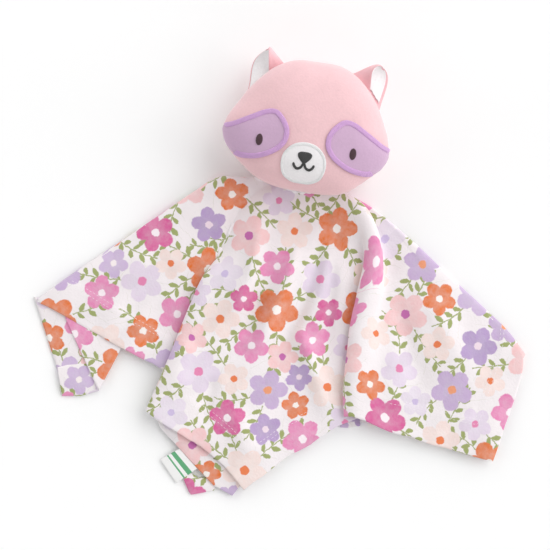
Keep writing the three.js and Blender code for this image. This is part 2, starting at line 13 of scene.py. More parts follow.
import bmesh
import bpy
import numpy as np
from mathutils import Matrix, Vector


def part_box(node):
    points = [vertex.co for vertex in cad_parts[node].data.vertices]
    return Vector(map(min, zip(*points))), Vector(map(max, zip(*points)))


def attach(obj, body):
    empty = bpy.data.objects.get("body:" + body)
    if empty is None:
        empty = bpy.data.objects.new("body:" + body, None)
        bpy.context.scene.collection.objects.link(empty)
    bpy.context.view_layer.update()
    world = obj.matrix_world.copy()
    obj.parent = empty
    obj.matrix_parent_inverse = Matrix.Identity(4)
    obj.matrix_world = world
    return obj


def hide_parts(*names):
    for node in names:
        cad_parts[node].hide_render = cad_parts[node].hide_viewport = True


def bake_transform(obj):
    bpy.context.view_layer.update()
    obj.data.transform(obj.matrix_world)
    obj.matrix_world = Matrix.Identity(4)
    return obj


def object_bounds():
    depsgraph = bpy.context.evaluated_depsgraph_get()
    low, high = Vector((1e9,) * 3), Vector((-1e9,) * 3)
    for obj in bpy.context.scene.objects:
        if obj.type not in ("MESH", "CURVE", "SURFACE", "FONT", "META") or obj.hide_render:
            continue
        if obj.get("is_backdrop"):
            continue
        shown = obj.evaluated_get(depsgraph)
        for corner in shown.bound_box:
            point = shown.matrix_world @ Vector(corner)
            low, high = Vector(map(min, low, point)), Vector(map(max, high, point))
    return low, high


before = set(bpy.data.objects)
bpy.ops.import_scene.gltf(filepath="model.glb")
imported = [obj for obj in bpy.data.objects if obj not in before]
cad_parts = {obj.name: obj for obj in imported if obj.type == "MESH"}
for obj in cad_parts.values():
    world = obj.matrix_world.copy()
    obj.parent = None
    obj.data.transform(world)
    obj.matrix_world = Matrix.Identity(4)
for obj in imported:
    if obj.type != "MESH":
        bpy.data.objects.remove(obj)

LOG = logging.getLogger("lovey")
MM = 0.001
TINY = 1e-9
SEWING_SLOT = "white_thread"

Array = np.ndarray
Colour = tuple[float, float, float, float]
Place = tuple[float, float]
Line = tuple[Place, ...]
Spot = tuple[float, float, float]
Row = tuple[float, float, float, tuple[float, ...]]
Material = bpy.types.Material
Piece = bpy.types.Object
Socket = bpy.types.NodeSocket
Tree = bpy.types.NodeTree


class Side(Enum):
    """Which side of the toy, seen from above with the head at the top."""

    LEFT = -1
    RIGHT = 1


class Panel(Enum):
    """The three flat stretches of the blanket's front."""

    LEFT = 0
    CENTRE = 1
    RIGHT = 2


def linear(code: str) -> Colour:
    """Turn an sRGB hex colour to linear light.

    Each channel c is c / 12.92 up to 0.04045, and ((c + 0.055) / 1.055) to the power 2.4 above.

    Args:
        code: Six hex digits.

    Returns:
        Red, green, blue and an alpha of one.
    """
    channels = [int(code[i : i + 2], 16) / 255 for i in (0, 2, 4)]
    light = [c / 12.92 if c <= 0.04045 else ((c + 0.055) / 1.055) ** 2.4 for c in channels]
    return (light[0], light[1], light[2], 1.0)


def add_node(
    tree: Tree,
    kind: str,
    inputs: dict | tuple | list = (),
    output: int | str = 0,
    **settings: object,
) -> Socket:
    """Add a shader node, set it up and wire it.

    Args:
        tree: The node tree that gets the node.
        kind: The node's type name without its first part, then its operation after a colon.
        inputs: Values, or the sockets that feed them, in order or by input name or number. The
            order of MapRange is value, from low, from high, to low, to high.
        output: Which output to hand back.
        settings: Attributes of the node itself.

    Returns:
        The chosen output socket.
    """
    kind, _, operation = kind.partition(":")
    if operation:
        settings["operation"] = operation
    node = tree.nodes.new(f"ShaderNode{kind}")
    for key, value in settings.items():
        setattr(node, key, value)
    for key, value in (inputs if isinstance(inputs, dict) else dict(enumerate(inputs))).items():
        if isinstance(value, Socket):
            tree.links.new(value, node.inputs[key])
        else:
            node.inputs[key].default_value = value
    return node.outputs[output] if node.outputs else None


def smooth_step(low: float, high: float, x: Array) -> Array:
    """Blend from 0 at low to 1 at high by 3 u^2 - 2 u^3, u the clamped share of the way."""
    u = np.clip((np.asarray(x, float) - low) / (high - low), 0, 1)
    return u * u * (3 - 2 * u)


def smooth_value(values: list[float], share: Array) -> Array:
    """Follow evenly spaced values with a smooth curve that is level at both ends.

    Between two values q and r the curve is a cubic Hermite with slopes (r - p) / 2 and
    (s - q) / 2, p and s their neighbours, mirrored at the ends.

    Args:
        values: The values, evenly spaced.
        share: Places from 0 to 1 along them.

    Returns:
        The curve's value at each place.
    """
    table = np.asarray(values, float)
    last = len(table) - 1
    place = np.clip(share, 0, 1) * last
    first = np.minimum(np.floor(place).astype(int), last - 1)
    u = place - first
    p, q, r, s = (table[last - np.abs(last - np.abs(first + step))] for step in (-1, 0, 1, 2))
    square, cube = u * u, u * u * u
    return (
        q * (2 * cube - 3 * square + 1)
        + (r - p) / 2 * (cube - 2 * square + u)
        + r * (3 * square - 2 * cube)
        + (s - q) / 2 * (cube - square)
    )


def ripple(x: Array, y: Array, wave: float, seed: int) -> Array:
    """Uneven soft waves: a third of the sum of six sines, each in its own direction and phase.

    Args:
        x: First coordinate, in millimetres.
        y: Second coordinate, in millimetres.
        wave: Typical distance from crest to crest, in millimetres.
        seed: Picks the directions and phases.

    Returns:
        Values mostly from -1 to 1.
    """
    draw = np.random.default_rng(seed)
    total = np.zeros(np.broadcast(x, y).shape)
    for _ in range(6):
        angle, phase = draw.uniform(0, math.tau), draw.uniform(0, math.tau)
        stretch = draw.uniform(0.7, 1.4)
        along = x * math.cos(angle) + y * math.sin(angle)
        total += np.sin(along * math.tau / (wave * stretch) + phase)
    return total / 3


def closed_curve(points: Array, count: int) -> Array:
    """Run a closed Catmull-Rom curve through points.

    Args:
        points: Corners of the curve, one row each.
        count: How many places to give back, evenly spaced in the curve's own measure.

    Returns:
        One row for each place.
    """
    n = len(points)
    place = np.arange(count) / count * n
    k = np.floor(place).astype(int)
    u = (place - k)[:, None]
    p, q, r, s = (points[(k + step) % n] for step in (-1, 0, 1, 2))
    return 0.5 * (
        2 * q + (r - p) * u + (2 * p - 5 * q + 4 * r - s) * u**2 + (3 * q - p - 3 * r + s) * u**3
    )


def grid_faces(
    rows: int, columns: int, wrapped: bool, first: int = 0, flip: bool = False
) -> Array:
    """Number the four corners of each face of a grid of points.

    Args:
        rows: Rows of points.
        columns: Columns of points.
        wrapped: Whether the last column joins the first.
        first: Number of the grid's first point.
        flip: Turns the faces the other way.

    Returns:
        One row of four point numbers for each face.
    """
    across = np.arange(columns if wrapped else columns - 1)
    row, column = np.meshgrid(np.arange(rows - 1), across, indexing="ij")
    after = (column + 1) % columns
    a, b = row * columns + column, row * columns + after
    faces = np.stack([a, b, b + columns, a + columns], -1).reshape(-1, 4) + first
    return faces[:, ::-1] if flip else faces


def mesh_object(name: str, points: Array, faces: Array | list) -> Piece:
    """Make a smooth mesh object at the origin from points in millimetres.

    Args:
        name: The object's name.
        points: One row for each point.
        faces: Point numbers of each face.

    Returns:
        The new object, linked to the scene.
    """
    mesh = bpy.data.meshes.new(name)
    corners = faces.tolist() if isinstance(faces, Array) else faces
    mesh.from_pydata((points * MM).tolist(), [], corners)
    mesh.polygons.foreach_set("use_smooth", np.ones(len(mesh.polygons), bool))
    made = bpy.data.objects.new(name, mesh)
    bpy.context.scene.collection.objects.link(made)
    return made


def mend(piece: Piece, reach: float = 0.01) -> Piece:
    """Merge a closed piece's doubled points and turn its faces outwards.

    Args:
        piece: The piece.
        reach: Points closer than this, in millimetres, are one; at 0 none are merged.

    Returns:
        The same piece.
    """
    work = bmesh.new()
    work.from_mesh(piece.data)
    if reach:
        bmesh.ops.remove_doubles(work, verts=work.verts, dist=reach * MM)
        bmesh.ops.dissolve_degenerate(work, edges=work.edges, dist=reach * MM)
    bmesh.ops.recalc_face_normals(work, faces=work.faces)
    work.to_mesh(piece.data)
    work.free()
    piece.data.polygons.foreach_set("use_smooth", np.ones(len(piece.data.polygons), bool))
    return piece


def shell(name: str, upper: Array, lower: Array, wrapped: bool) -> Piece:
    """Close the space between two grids of points into one body.

    Args:
        name: The object's name.
        upper: Rows by columns by three, the outer surface.
        lower: The same shape, the inner surface.
        wrapped: Whether the columns close on themselves.

    Returns:
        The closed body.
    """
    rows, columns = upper.shape[:2]
    count = rows * columns
    faces = [grid_faces(rows, columns, wrapped), grid_faces(rows, columns, wrapped, count, True)]
    edges = [np.arange(columns) + row * columns for row in (0, rows - 1)]
    if wrapped:
        edges = [np.append(edge, edge[0]) for edge in edges]
    else:
        edges += [np.arange(rows) * columns + column for column in (0, columns - 1)]
    for edge in edges:
        faces.append(np.stack([edge[:-1], edge[1:], edge[1:] + count, edge[:-1] + count], -1))
    points = np.concatenate([upper.reshape(-1, 3), lower.reshape(-1, 3)])
    return mend(mesh_object(name, points, np.concatenate(faces)))


def put_uv(piece: Piece, name: str, uv: Array) -> None:
    """Give a piece a UV map from one coordinate pair for each of its points.

    Args:
        piece: The piece.
        name: Name of the map.
        uv: One row for each point.
    """
    corners = np.zeros(len(piece.data.loops), np.int32)
    piece.data.loops.foreach_get("vertex_index", corners)
    layer = piece.data.uv_layers.new(name=name)
    layer.data.foreach_set("uv", uv[corners].astype(np.float32).ravel())


def points_of(piece: Piece) -> Array:
    """A piece's points in millimetres, one row for each."""
    points = np.zeros(len(piece.data.vertices) * 3)
    piece.data.vertices.foreach_get("co", points)
    return points.reshape(-1, 3) / MM


def tube(name: str, points: Array) -> Piece:
    """Join rings of points to a tube whose two ends are closed by flat faces.

    Args:
        name: The object's name.
        points: Rings by points by three.

    Returns:
        The closed tube.
    """
    rows, columns = points.shape[:2]
    ring = list(range(columns))
    last = [(rows - 1) * columns + k for k in ring]
    faces = grid_faces(rows, columns, True).tolist() + [ring[::-1], last]
    return mesh_object(name, points.reshape(-1, 3), faces)


def on_line(line: Array, lengths: Array, at: Array) -> Array:
    """Points of a broken line at some lengths along it, given the length at each corner."""
    return np.stack([np.interp(at, lengths, column) for column in line.T], -1)


def dress(piece: Piece, material: Material, body: str, slot: str, *nodes: str) -> None:
    """Give a piece its material, hide the solids that it stands for and let it ride on a body.

    Args:
        piece: The piece.
        material: Its material.
        body: The body that carries it.
        slot: The record's slot for it. It is not used.
        nodes: The solids that it stands for.
    """
    piece.data.materials.append(material)
    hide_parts(*nodes)
    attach(piece, body)


def bare_tree(owner: Material | bpy.types.World) -> Tree:
    """Turn on the nodes of a material or world, and empty them."""
    owner.use_nodes = True
    owner.node_tree.nodes.clear()
    return owner.node_tree


def new_material(name: str) -> tuple[Material, Tree]:
    """A new material and its empty tree."""
    material = bpy.data.materials.new(name)
    return material, bare_tree(material)


@dataclass(frozen=True)
class Pile:
    """Sheared pile: soft and matte, and paler where it is seen along its fibres."""

    # Real tufts are under half a millimetre, too fine to show, so they are drawn coarser.
    tuft: float = 1.5
    bump: float = 0.35
    roughness: float = 0.9
    gloss: float = 0.2
    sheen: float = 0.35
    sheen_roughness: float = 0.45
    height: float = 0.3
    clump: float = 4

    def cover(self, tree: Tree, place: Socket, colour: Socket) -> None:
        """Finish a material with pile: a bump, a matte surface and a sheen.

        The bump is noise of the tufts' size plus noise of a clump of tufts, and its depth is
        height times a tuft.

        Args:
            tree: The material's tree.
            place: Object coordinates.
            colour: The colour of the pile.
        """
        noises = [
            add_node(tree, "TexNoise", {0: place, "Scale": 1 / (size * MM), "Detail": detail})
            for size, detail in ((self.tuft, 4.0), (self.tuft * self.clump, 2.0))
        ]
        height = add_node(tree, "Math:ADD", noises)
        depth = self.tuft * self.height * MM
        bump = {"Height": height, "Strength": self.bump, "Distance": depth}
        surface = {
            "Base Color": colour,
            "Roughness": self.roughness,
            "Specular IOR Level": self.gloss,
            "Sheen Weight": self.sheen,
            "Sheen Roughness": self.sheen_roughness,
            "Normal": add_node(tree, "Bump", bump),
        }
        covered = add_node(tree, "BsdfPrincipled", surface)
        add_node(tree, "OutputMaterial", {"Surface": covered})


@dataclass(frozen=True)
class VelourFinish:
    """Polyester velour, knitted and sheared: an even, soft colour, mottled by its pile's lean."""

    name: str
    colour: str
    pile: Pile = Pile()
    mottle: float = 0.05
    blotch: float = 14

    def make(self) -> Material:
        """Build the material: a mottled colour under the pile.

        Two noises, a blotch and a tuft wide, add up to about 1, and their sum from 0.6 to 1.4
        takes the colour's value from 1 - mottle to 1 + mottle.

        Returns:
            The velour.
        """
        material, tree = new_material(self.name)
        place = add_node(tree, "TexCoord", output="Object")
        noises = [
            add_node(tree, "TexNoise", {0: place, "Scale": 1 / (size * MM), "Detail": detail})
            for size, detail in ((self.blotch, 3.0), (self.pile.tuft, 2.0))
        ]
        both = add_node(tree, "Math:ADD", noises)
        span = (both, 0.6, 1.4, 1 - self.mottle, 1 + self.mottle)
        value = add_node(tree, "MapRange", span)
        colour = add_node(tree, "HueSaturation", {"Value": value, "Color": linear(self.colour)})
        self.pile.cover(tree, place, colour)
        return material


@dataclass(frozen=True)
class ThreadFinish:
    """Rayon machine embroidery: close parallel threads with a soft sheen across them."""

    name: str
    colour: str
    # The wave node repeats every tau / (20 Scale), so these rows come out at a tenth of this.
    # Too fine to show, they even out the gloss and the painted groove shade; the ridges are in the
    # shape.
    thread: float = 0.9
    bump: float = 0.5
    height: float = 0.3
    blotch: float = 3

    def make(self) -> Material:
        """Build the material; its thread rows run along the piece's own UV map.

        Returns:
            The embroidery material.
        """
        material, tree = new_material(self.name)
        flat = add_node(tree, "UVMap", uv_map="thread")
        place = add_node(tree, "TexCoord", output="Object")
        rows = {"Scale": 1 / (self.thread * math.pi / 10), "Distortion": 0.6, "Detail": 1.0}
        wave = add_node(
            tree, "TexWave", {"Vector": flat, **rows}, "Fac", wave_type="BANDS", bands_direction="X"
        )
        blotches = {"Vector": place, "Scale": 1 / (self.blotch * MM), "Detail": 2.0}
        uneven = add_node(tree, "TexNoise", blotches)
        value = add_node(tree, "MapRange", (uneven, 0, 1, 0.9, 1.1))
        # Painted shade and light: each thread row is darker in its groove and a little lighter on
        # its crest, in step with the bump's height.
        painted_thread_shading = add_node(tree, "MapRange", (wave, 0, 1, 0.86, 1.05))
        both = add_node(tree, "Math:MULTIPLY", (value, painted_thread_shading))
        colour = add_node(tree, "HueSaturation", {"Value": both, "Color": linear(self.colour)})
        depth = self.thread * self.height * MM
        bump = {"Height": wave, "Strength": self.bump, "Distance": depth}
        surface = {
            "Base Color": colour,
            "Roughness": 0.6,
            "Specular IOR Level": 0.3,
            "Sheen Weight": 0.2,
            "Normal": add_node(tree, "Bump", bump),
        }
        add_node(tree, "OutputMaterial", {"Surface": add_node(tree, "BsdfPrincipled", surface)})
        return material


@dataclass(frozen=True)
class RibbonFinish:
    """Woven satin ribbon for the tag: white, with a smooth glow and a pair of green stripes."""

    name: str
    ground: str
    stripe: str
    stripes: Line = ((0.34, 0.1), (0.62, 0.035))
    width: float = 20.5
    # Real ribs are a quarter of a millimetre apart, too fine to show. These come out at half
    # a millimetre, because the wave node repeats every tau / (20 Scale).
    weave: float = 0.8

    def make(self) -> Material:
        """Build the material.

        Returns:
            Satin with stripes placed by the piece's UV map, each within its half width of its
            middle, as shares of the map.
        """
        material, tree = new_material(self.name)
        flat = add_node(tree, "UVMap", uv_map="ribbon")
        across = add_node(tree, "SeparateXYZ", {"Vector": flat}, "X")
        bands = []
        for middle, half in self.stripes:
            away = add_node(tree, "Math:SUBTRACT", (across, middle))
            away = add_node(tree, "Math:ABSOLUTE", (away,))
            bands.append(add_node(tree, "Math:LESS_THAN", (away, half)))
        striped = add_node(tree, "Math:MAXIMUM", bands)
        dyes = {0: striped, 6: linear(self.ground), 7: linear(self.stripe)}
        colour = add_node(tree, "Mix", dyes, output=2, data_type="RGBA")
        ribs = {"Scale": self.width / (self.weave * math.pi / 10) / math.tau, "Distortion": 0.3}
        weave = add_node(tree, "TexWave", {"Vector": flat, **ribs}, "Fac", bands_direction="Y")
        bump = {"Height": weave, "Strength": 0.15, "Distance": 0.1 * MM}
        surface = {
            "Base Color": colour,
            "Roughness": 0.42,
            "Anisotropic": 0.4,
            "Sheen Weight": 0.15,
            "Normal": add_node(tree, "Bump", bump),
        }
        add_node(tree, "OutputMaterial", {"Surface": add_node(tree, "BsdfPrincipled", surface)})
        return material


@dataclass
class Head:
    """The stuffed head: two velour panels over fibre, pulled in along their seam."""

    width: float = 124
    height: float = 97.2
    front_depth: float = 28.5
    back_depth: float = 27.5
    rest_flat: float = 0.5
    neck_to_centre: float = 34.49
    tilt: float = -9
    seam_height: float = 27.55
    front_squareness: float = 2.4
    back_squareness: float = 2.0
    wall: float = 1.6
    groove: float = 0.9
    groove_half: float = 0.1
    dents: float = 0.35
    dent_wave: float = 42
    lowest: float = 0.02
    fill: float = 0.9
    columns: int = 240
    rows: int = 64
    outline: tuple[float, ...] = (
        0.971, 0.994, 1.013, 1.01, 1.024, 1.031, 0.97, 0.917, 0.918, 0.95, 1.008, 1.048, 1.029,
    )
    uneven: tuple[Spot, ...] = (
        (-60, 15, 0.038), (-9, 15, -0.008), (190, 20, 0.024), (130, 30, -0.01),
    )

    def outline_share(self, beta: Array) -> Array:
        """Outline as a share of the plain oval at an angle.

        It is alike on both sides but for the stuffing: each uneven place adds its share times
        exp(-(degrees from it / its spread)^2).

        Args:
            beta: Angle round the outline, 0 at the right cheek.

        Returns:
            The share.
        """
        from_chin = np.arccos(np.clip(-np.sin(beta), -1, 1))
        share = smooth_value(list(self.outline), from_chin / math.pi)
        for degrees, spread, more in self.uneven:
            apart = (np.degrees(beta) - degrees + 180) % 360 - 180
            share = share + more * np.exp(-((apart / spread) ** 2))
        return share

    def to_world(self, local: Array) -> Array:
        """Turn and move points from the head's own axes to the toy's.

        Args:
            local: Points with the middle of the seam plane at zero.

        Returns:
            The points in the toy's frame.
        """
        turn = math.radians(self.tilt)
        x, y, z = local[..., 0], local[..., 1] + self.neck_to_centre, local[..., 2]
        c, s = math.cos(turn), math.sin(turn)
        return np.stack([x * c - y * s, x * s + y * c, z + self.seam_height], -1)

    def surface(
        self, beta: Array, latitude: Array, front: bool, grow: float | Array
    ) -> Array:
        """The head's skin, in its own axes.

        Plan reach is outline share times sin(latitude)^(2/n) and height is
        depth times cos(latitude)^(2/n), so n sets how square the section is. The skin dips
        along the seam, more at its puckers, and swells unevenly over the filling. The back is
        flat where the head rests.

        Args:
            beta: Angle round the outline.
            latitude: 0 at the middle and a right angle at the seam.
            front: The face's side, or the back.
            grow: How far outside the skin, in millimetres.

        Returns:
            The points.
        """
        n = self.front_squareness if front else self.back_squareness
        depth = self.front_depth if front else self.back_depth
        share = self.outline_share(beta)
        seam = np.exp(-(((math.pi / 2 - latitude) / self.groove_half) ** 2))
        pucker = 1 + 0.25 * np.sin(beta * 61) + 0.2 * np.sin(beta * 37 + 1)
        out = grow - self.groove * seam * pucker
        spread = share * np.sin(latitude) ** (2 / n)
        x = (self.width / 2 + out) * spread * np.cos(beta)
        y = (self.height / 2 + out) * spread * np.sin(beta)
        uneven = self.dents * ripple(x, y, self.dent_wave, 3 if front else 4) * (1 - seam)
        rise = (depth + out + uneven) * np.maximum(np.cos(latitude), 0) ** (2 / n)
        if not front:
            rise = np.minimum(rise, depth - self.rest_flat + grow)
        return np.stack([x, y, rise if front else -rise], -1)

    def face(self, x: Array, y: Array, grow: Array) -> Array:
        """The skin over places on the face.

        Args:
            x: Across the face, in the head's axes.
            y: Up the face.
            grow: How far outside the skin.

        Returns:
            The points in the toy's frame.
        """
        across, along = x / (self.width / 2), y / (self.height / 2)
        beta = np.arctan2(along, across)
        reach = np.minimum(np.hypot(across, along) / self.outline_share(beta), 1)
        latitude = np.arcsin(reach ** (self.front_squareness / 2))
        return self.to_world(self.surface(beta, latitude, True, grow))

    def panel(self, front: bool) -> Piece:
        """One velour panel, with its thickness.

        Args:
            front: The face's side, or the back.

        Returns:
            The panel.
        """
        u = np.arange(self.columns) / self.columns * math.tau
        v = np.linspace(0, 1, self.rows) ** 0.85 * math.pi / 2
        beta, latitude = np.meshgrid(u, v)
        skin, inside = (
            self.to_world(self.surface(beta, latitude, front, grow)) for grow in (0, -self.wall)
        )
        if not front:
            skin[..., 2] = np.maximum(skin[..., 2], self.lowest)
        name = "head_front_velour" if front else "head_back_velour"
        return shell(name, skin, inside, True)

    def build(self, finish: VelourFinish, fibre: VelourFinish) -> None:
        """Make and dress the head's panels, and give the filling its finish.

        Args:
            finish: Velour of the skin.
            fibre: Finish of the loose filling inside.
        """
        material = finish.make()
        solids = {True: ("head_front_panel", "head_seam"), False: ("head_back_panel",)}
        for front, nodes in solids.items():
            piece = self.panel(front)
            dress(piece, material, "head", "pink_velour", *nodes)
            LOG.info("%s: %d faces", piece.name, len(piece.data.polygons))
        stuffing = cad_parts["head_stuffing"]
        stuffing.data.materials.clear()
        stuffing.data.materials.append(fibre.make())


@dataclass(frozen=True)
class Disc:
    """A patch's underside and edge over the skin, its middle over its edge, and its rings."""

    low: float
    high: float
    dome: float
    rings: int


@dataclass(frozen=True)
class Band:
    """A satin-stitched band: its width, underside over the skin, rise and thread pitch.

    Inward is how far it moves towards the inside of its path, as a share of its width.
    """

    width: float
    base: float
    rise: float
    inward: float = 0
    pitch: float = 1.1


@dataclass
class Face:
    """Everything stitched to the front of the head."""

    head: Head
    patch_outline: Line = (
        (62.4, -7.3), (54.5, -4.6), (43.5, 1.0), (32.5, 6.6), (25.0, 7.4), (19.5, 3.5),
        (15.0, -3.0), (13.7, -9.0), (15.2, -15.5), (21.0, -22.0), (31.5, -27.4), (42.3, -29.0),
        (50.0, -27.6), (57.6, -22.5), (61.9, -14.0),
    )
    muzzle_outline: Line = (
        (0.0, -12.6), (8.4, -14.6), (14.6, -20.6), (16.4, -28.4), (13.9, -36.6), (7.2, -40.7),
        (0.0, -41.3), (-7.2, -40.7), (-13.9, -36.6), (-16.4, -28.4), (-14.6, -20.6), (-8.4, -14.6),
    )
    nose_outline: Line = (
        (0.2, -18.9), (3.3, -19.1), (5.4, -20.5), (5.0, -23.1), (2.5, -26.0), (0.2, -27.7),
        (-2.1, -26.0), (-4.6, -23.1), (-5.0, -20.5), (-2.9, -19.1),
    )
    mouth_line: Line = ((-7.2, -27.0), (-6.4, -29.2), (-4.2, -30.8), (-1.6, -29.8), (0.2, -26.9))
    mouth_shift: Place = (0.4, 0)
    eye: Place = (33.9, -15.2)
    eye_half: Place = (2.45, 4.15)
    patch_disc: Disc = Disc(0.05, 0.9, 0.1, 24)
    eye_disc: Disc = Disc(0.9, 1.4, 0.9, 8)
    muzzle_disc: Disc = Disc(0.05, 1.0, 0.9, 24)
    nose_disc: Disc = Disc(1.2, 2.0, 1.2, 10)
    patch_band: Band = Band(3.8, 0.85, 0.8, 0.4)
    muzzle_band: Band = Band(2.4, 0.3, 1.25, 0.45)
    mouth_band: Band = Band(1.9, 1.7, 0.75, pitch=0.9)
    # The edge's stretch that lies on the face; the rest of it runs down into the seam.
    patch_edge: tuple[int, int] = (2, 131)
    threads_each: int = 4

    def disc(self, name: str, outline: Array, plan: Disc) -> Piece:
        """A patch inside an outline, its edge turned down towards the skin.

        At a share v of the way out, it stands dome times (1 - v^2) over the edge's height, and
        its outermost twentieth comes down by four fifths of its thickness.

        Args:
            name: The piece's name.
            outline: The closed edge, on the face.
            plan: Its heights.

        Returns:
            The closed patch.
        """
        centre = outline.mean(0)
        v = np.linspace(0, 1, plan.rings)[:, None]
        x, y = (centre[k] + (outline[:, k] - centre[k]) * v for k in (0, 1))
        turned = (plan.high - plan.low) * smooth_step(0.95, 1.0, v) * 0.8
        top = plan.high + plan.dome * (1 - v**2) - turned
        piece = shell(name, self.head.face(x, y, top), self.head.face(x, y, plan.low), True)
        self.lay_threads(piece)
        return piece

    @staticmethod
    def lay_threads(piece: Piece) -> None:
        """Give a piece a map in millimetres seen from above, for its thread rows."""
        put_uv(piece, "thread", points_of(piece)[:, :2])

    def satin_band(self, name: str, path: Array, closed: bool, band: Band) -> Piece:
        """A satin-stitched cord: a low round section with a ridge for each thread.

        Across it, height is rise times sqrt(1 - a^4), a from -1 to 1, which makes its top flat.
        Along it, each thread is one wave of a cosine, a tenth of the rise high. An open band
        narrows to its ends as the root of the distance from them.

        Args:
            name: The piece's name.
            path: The line it follows on the face.
            closed: Whether the line closes on itself.
            band: Its sizes.

        Returns:
            The closed band.
        """
        ring = np.vstack([path, path[:1]]) if closed else path
        lengths = np.append(0, np.cumsum(np.hypot(*np.diff(ring, axis=0).T)))
        total = lengths[-1]
        threads = max(int(total / band.pitch), 4)
        parts = threads * self.threads_each
        count = parts + (0 if closed else 1)
        at = np.arange(count) / parts * total
        x, y = on_line(ring, lengths, at).T
        step = total / threads / 2
        ahead, behind = (
            on_line(ring, lengths, np.mod(at + way, total) if closed else at + way)
            for way in (step, -step)
        )
        tangent = (ahead - behind).T
        tangent /= np.hypot(*tangent) + TINY
        aside = np.stack([-tangent[1], tangent[0]])
        aside *= np.sign(np.sum(x * np.roll(y, -1) - np.roll(x, -1) * y))
        a = np.linspace(-1, 1, 9)[:, None]
        ridge = 1 + 0.1 * np.cos(np.arange(count) / self.threads_each * math.tau)
        offset = (a / 2 + band.inward) * band.width
        taper = np.ones(count)
        if not closed:
            to_end = np.minimum(at, total - at) / (band.width * 0.5)
            taper = np.sqrt(np.clip(to_end, 0.02, 1))
        px, py = x + aside[0] * offset * taper, y + aside[1] * offset * taper
        height = band.base + band.rise * np.sqrt(np.maximum(1 - a**4, 0)) * ridge * taper
        upper, lower = (self.head.face(px, py, z) for z in (height, band.base - 0.05 + 0 * px))
        rows, columns = upper.shape[:2]
        piece = shell(name, upper, lower, closed)
        self.lay_threads(piece)
        LOG.info("%s: %d threads, %d by %d", name, threads, rows, columns)
        return piece

    def build(self, finishes: dict[str, VelourFinish | ThreadFinish]) -> None:
        """Make the eyes, muzzle, nose and mouth.

        Args:
            finishes: Finish for each of patch, border, eye, muzzle, ring, and dark thread.
        """
        made = {name: finish.make() for name, finish in finishes.items()}
        for side in Side:
            word, sign = side.name.lower(), side.value
            outline = closed_curve(np.array(self.patch_outline), 160) * (sign, 1)
            patch = self.disc(f"eye_patch_{word}_velour", outline, self.patch_disc)
            dress(patch, made["patch"], "head", "lavender_velour", f"eye_patch_{word}")
            edge = outline[slice(*self.patch_edge)]
            name = f"eye_patch_{word}_satin_edge"
            band = self.satin_band(name, edge, False, self.patch_band)
            dress(band, made["border"], "head", "lavender_thread", f"eye_patch_border_{word}")
            (x, y), (wide, high) = self.eye, self.eye_half
            angle = np.arange(48) / 48 * math.tau
            oval = np.stack([sign * x + wide * np.cos(angle), y + high * np.sin(angle)], -1)
            eye = self.disc(f"eye_{word}_embroidery", oval, self.eye_disc)
            dress(eye, made["eye"], "head", "dark_thread", f"eye_{word}")
        outline = closed_curve(np.array(self.muzzle_outline), 140)
        muzzle = self.disc("muzzle_velour", outline, self.muzzle_disc)
        dress(muzzle, made["muzzle"], "head", "white_velour", "muzzle_patch")
        ring = self.satin_band("muzzle_satin_edge", outline, True, self.muzzle_band)
        dress(ring, made["ring"], "head", "white_thread", "muzzle_border")
        outline = closed_curve(np.array(self.nose_outline), 64)
        nose = self.disc("nose_embroidery", outline, self.nose_disc)
        dress(nose, made["dark"], "head", "charcoal_thread", "nose")
        half = np.array(self.mouth_line)
        whole = np.vstack([half, (half[::-1] * (-1, 1))[1:] + self.mouth_shift])
        share = np.linspace(0, 1, 60)
        line = np.stack([smooth_value(list(values), share) for values in whole.T], -1)
        mouth = self.satin_band("mouth_embroidery", line, False, self.mouth_band)
        dress(mouth, made["dark"], "head", "charcoal_thread", "mouth_left", "mouth_right")


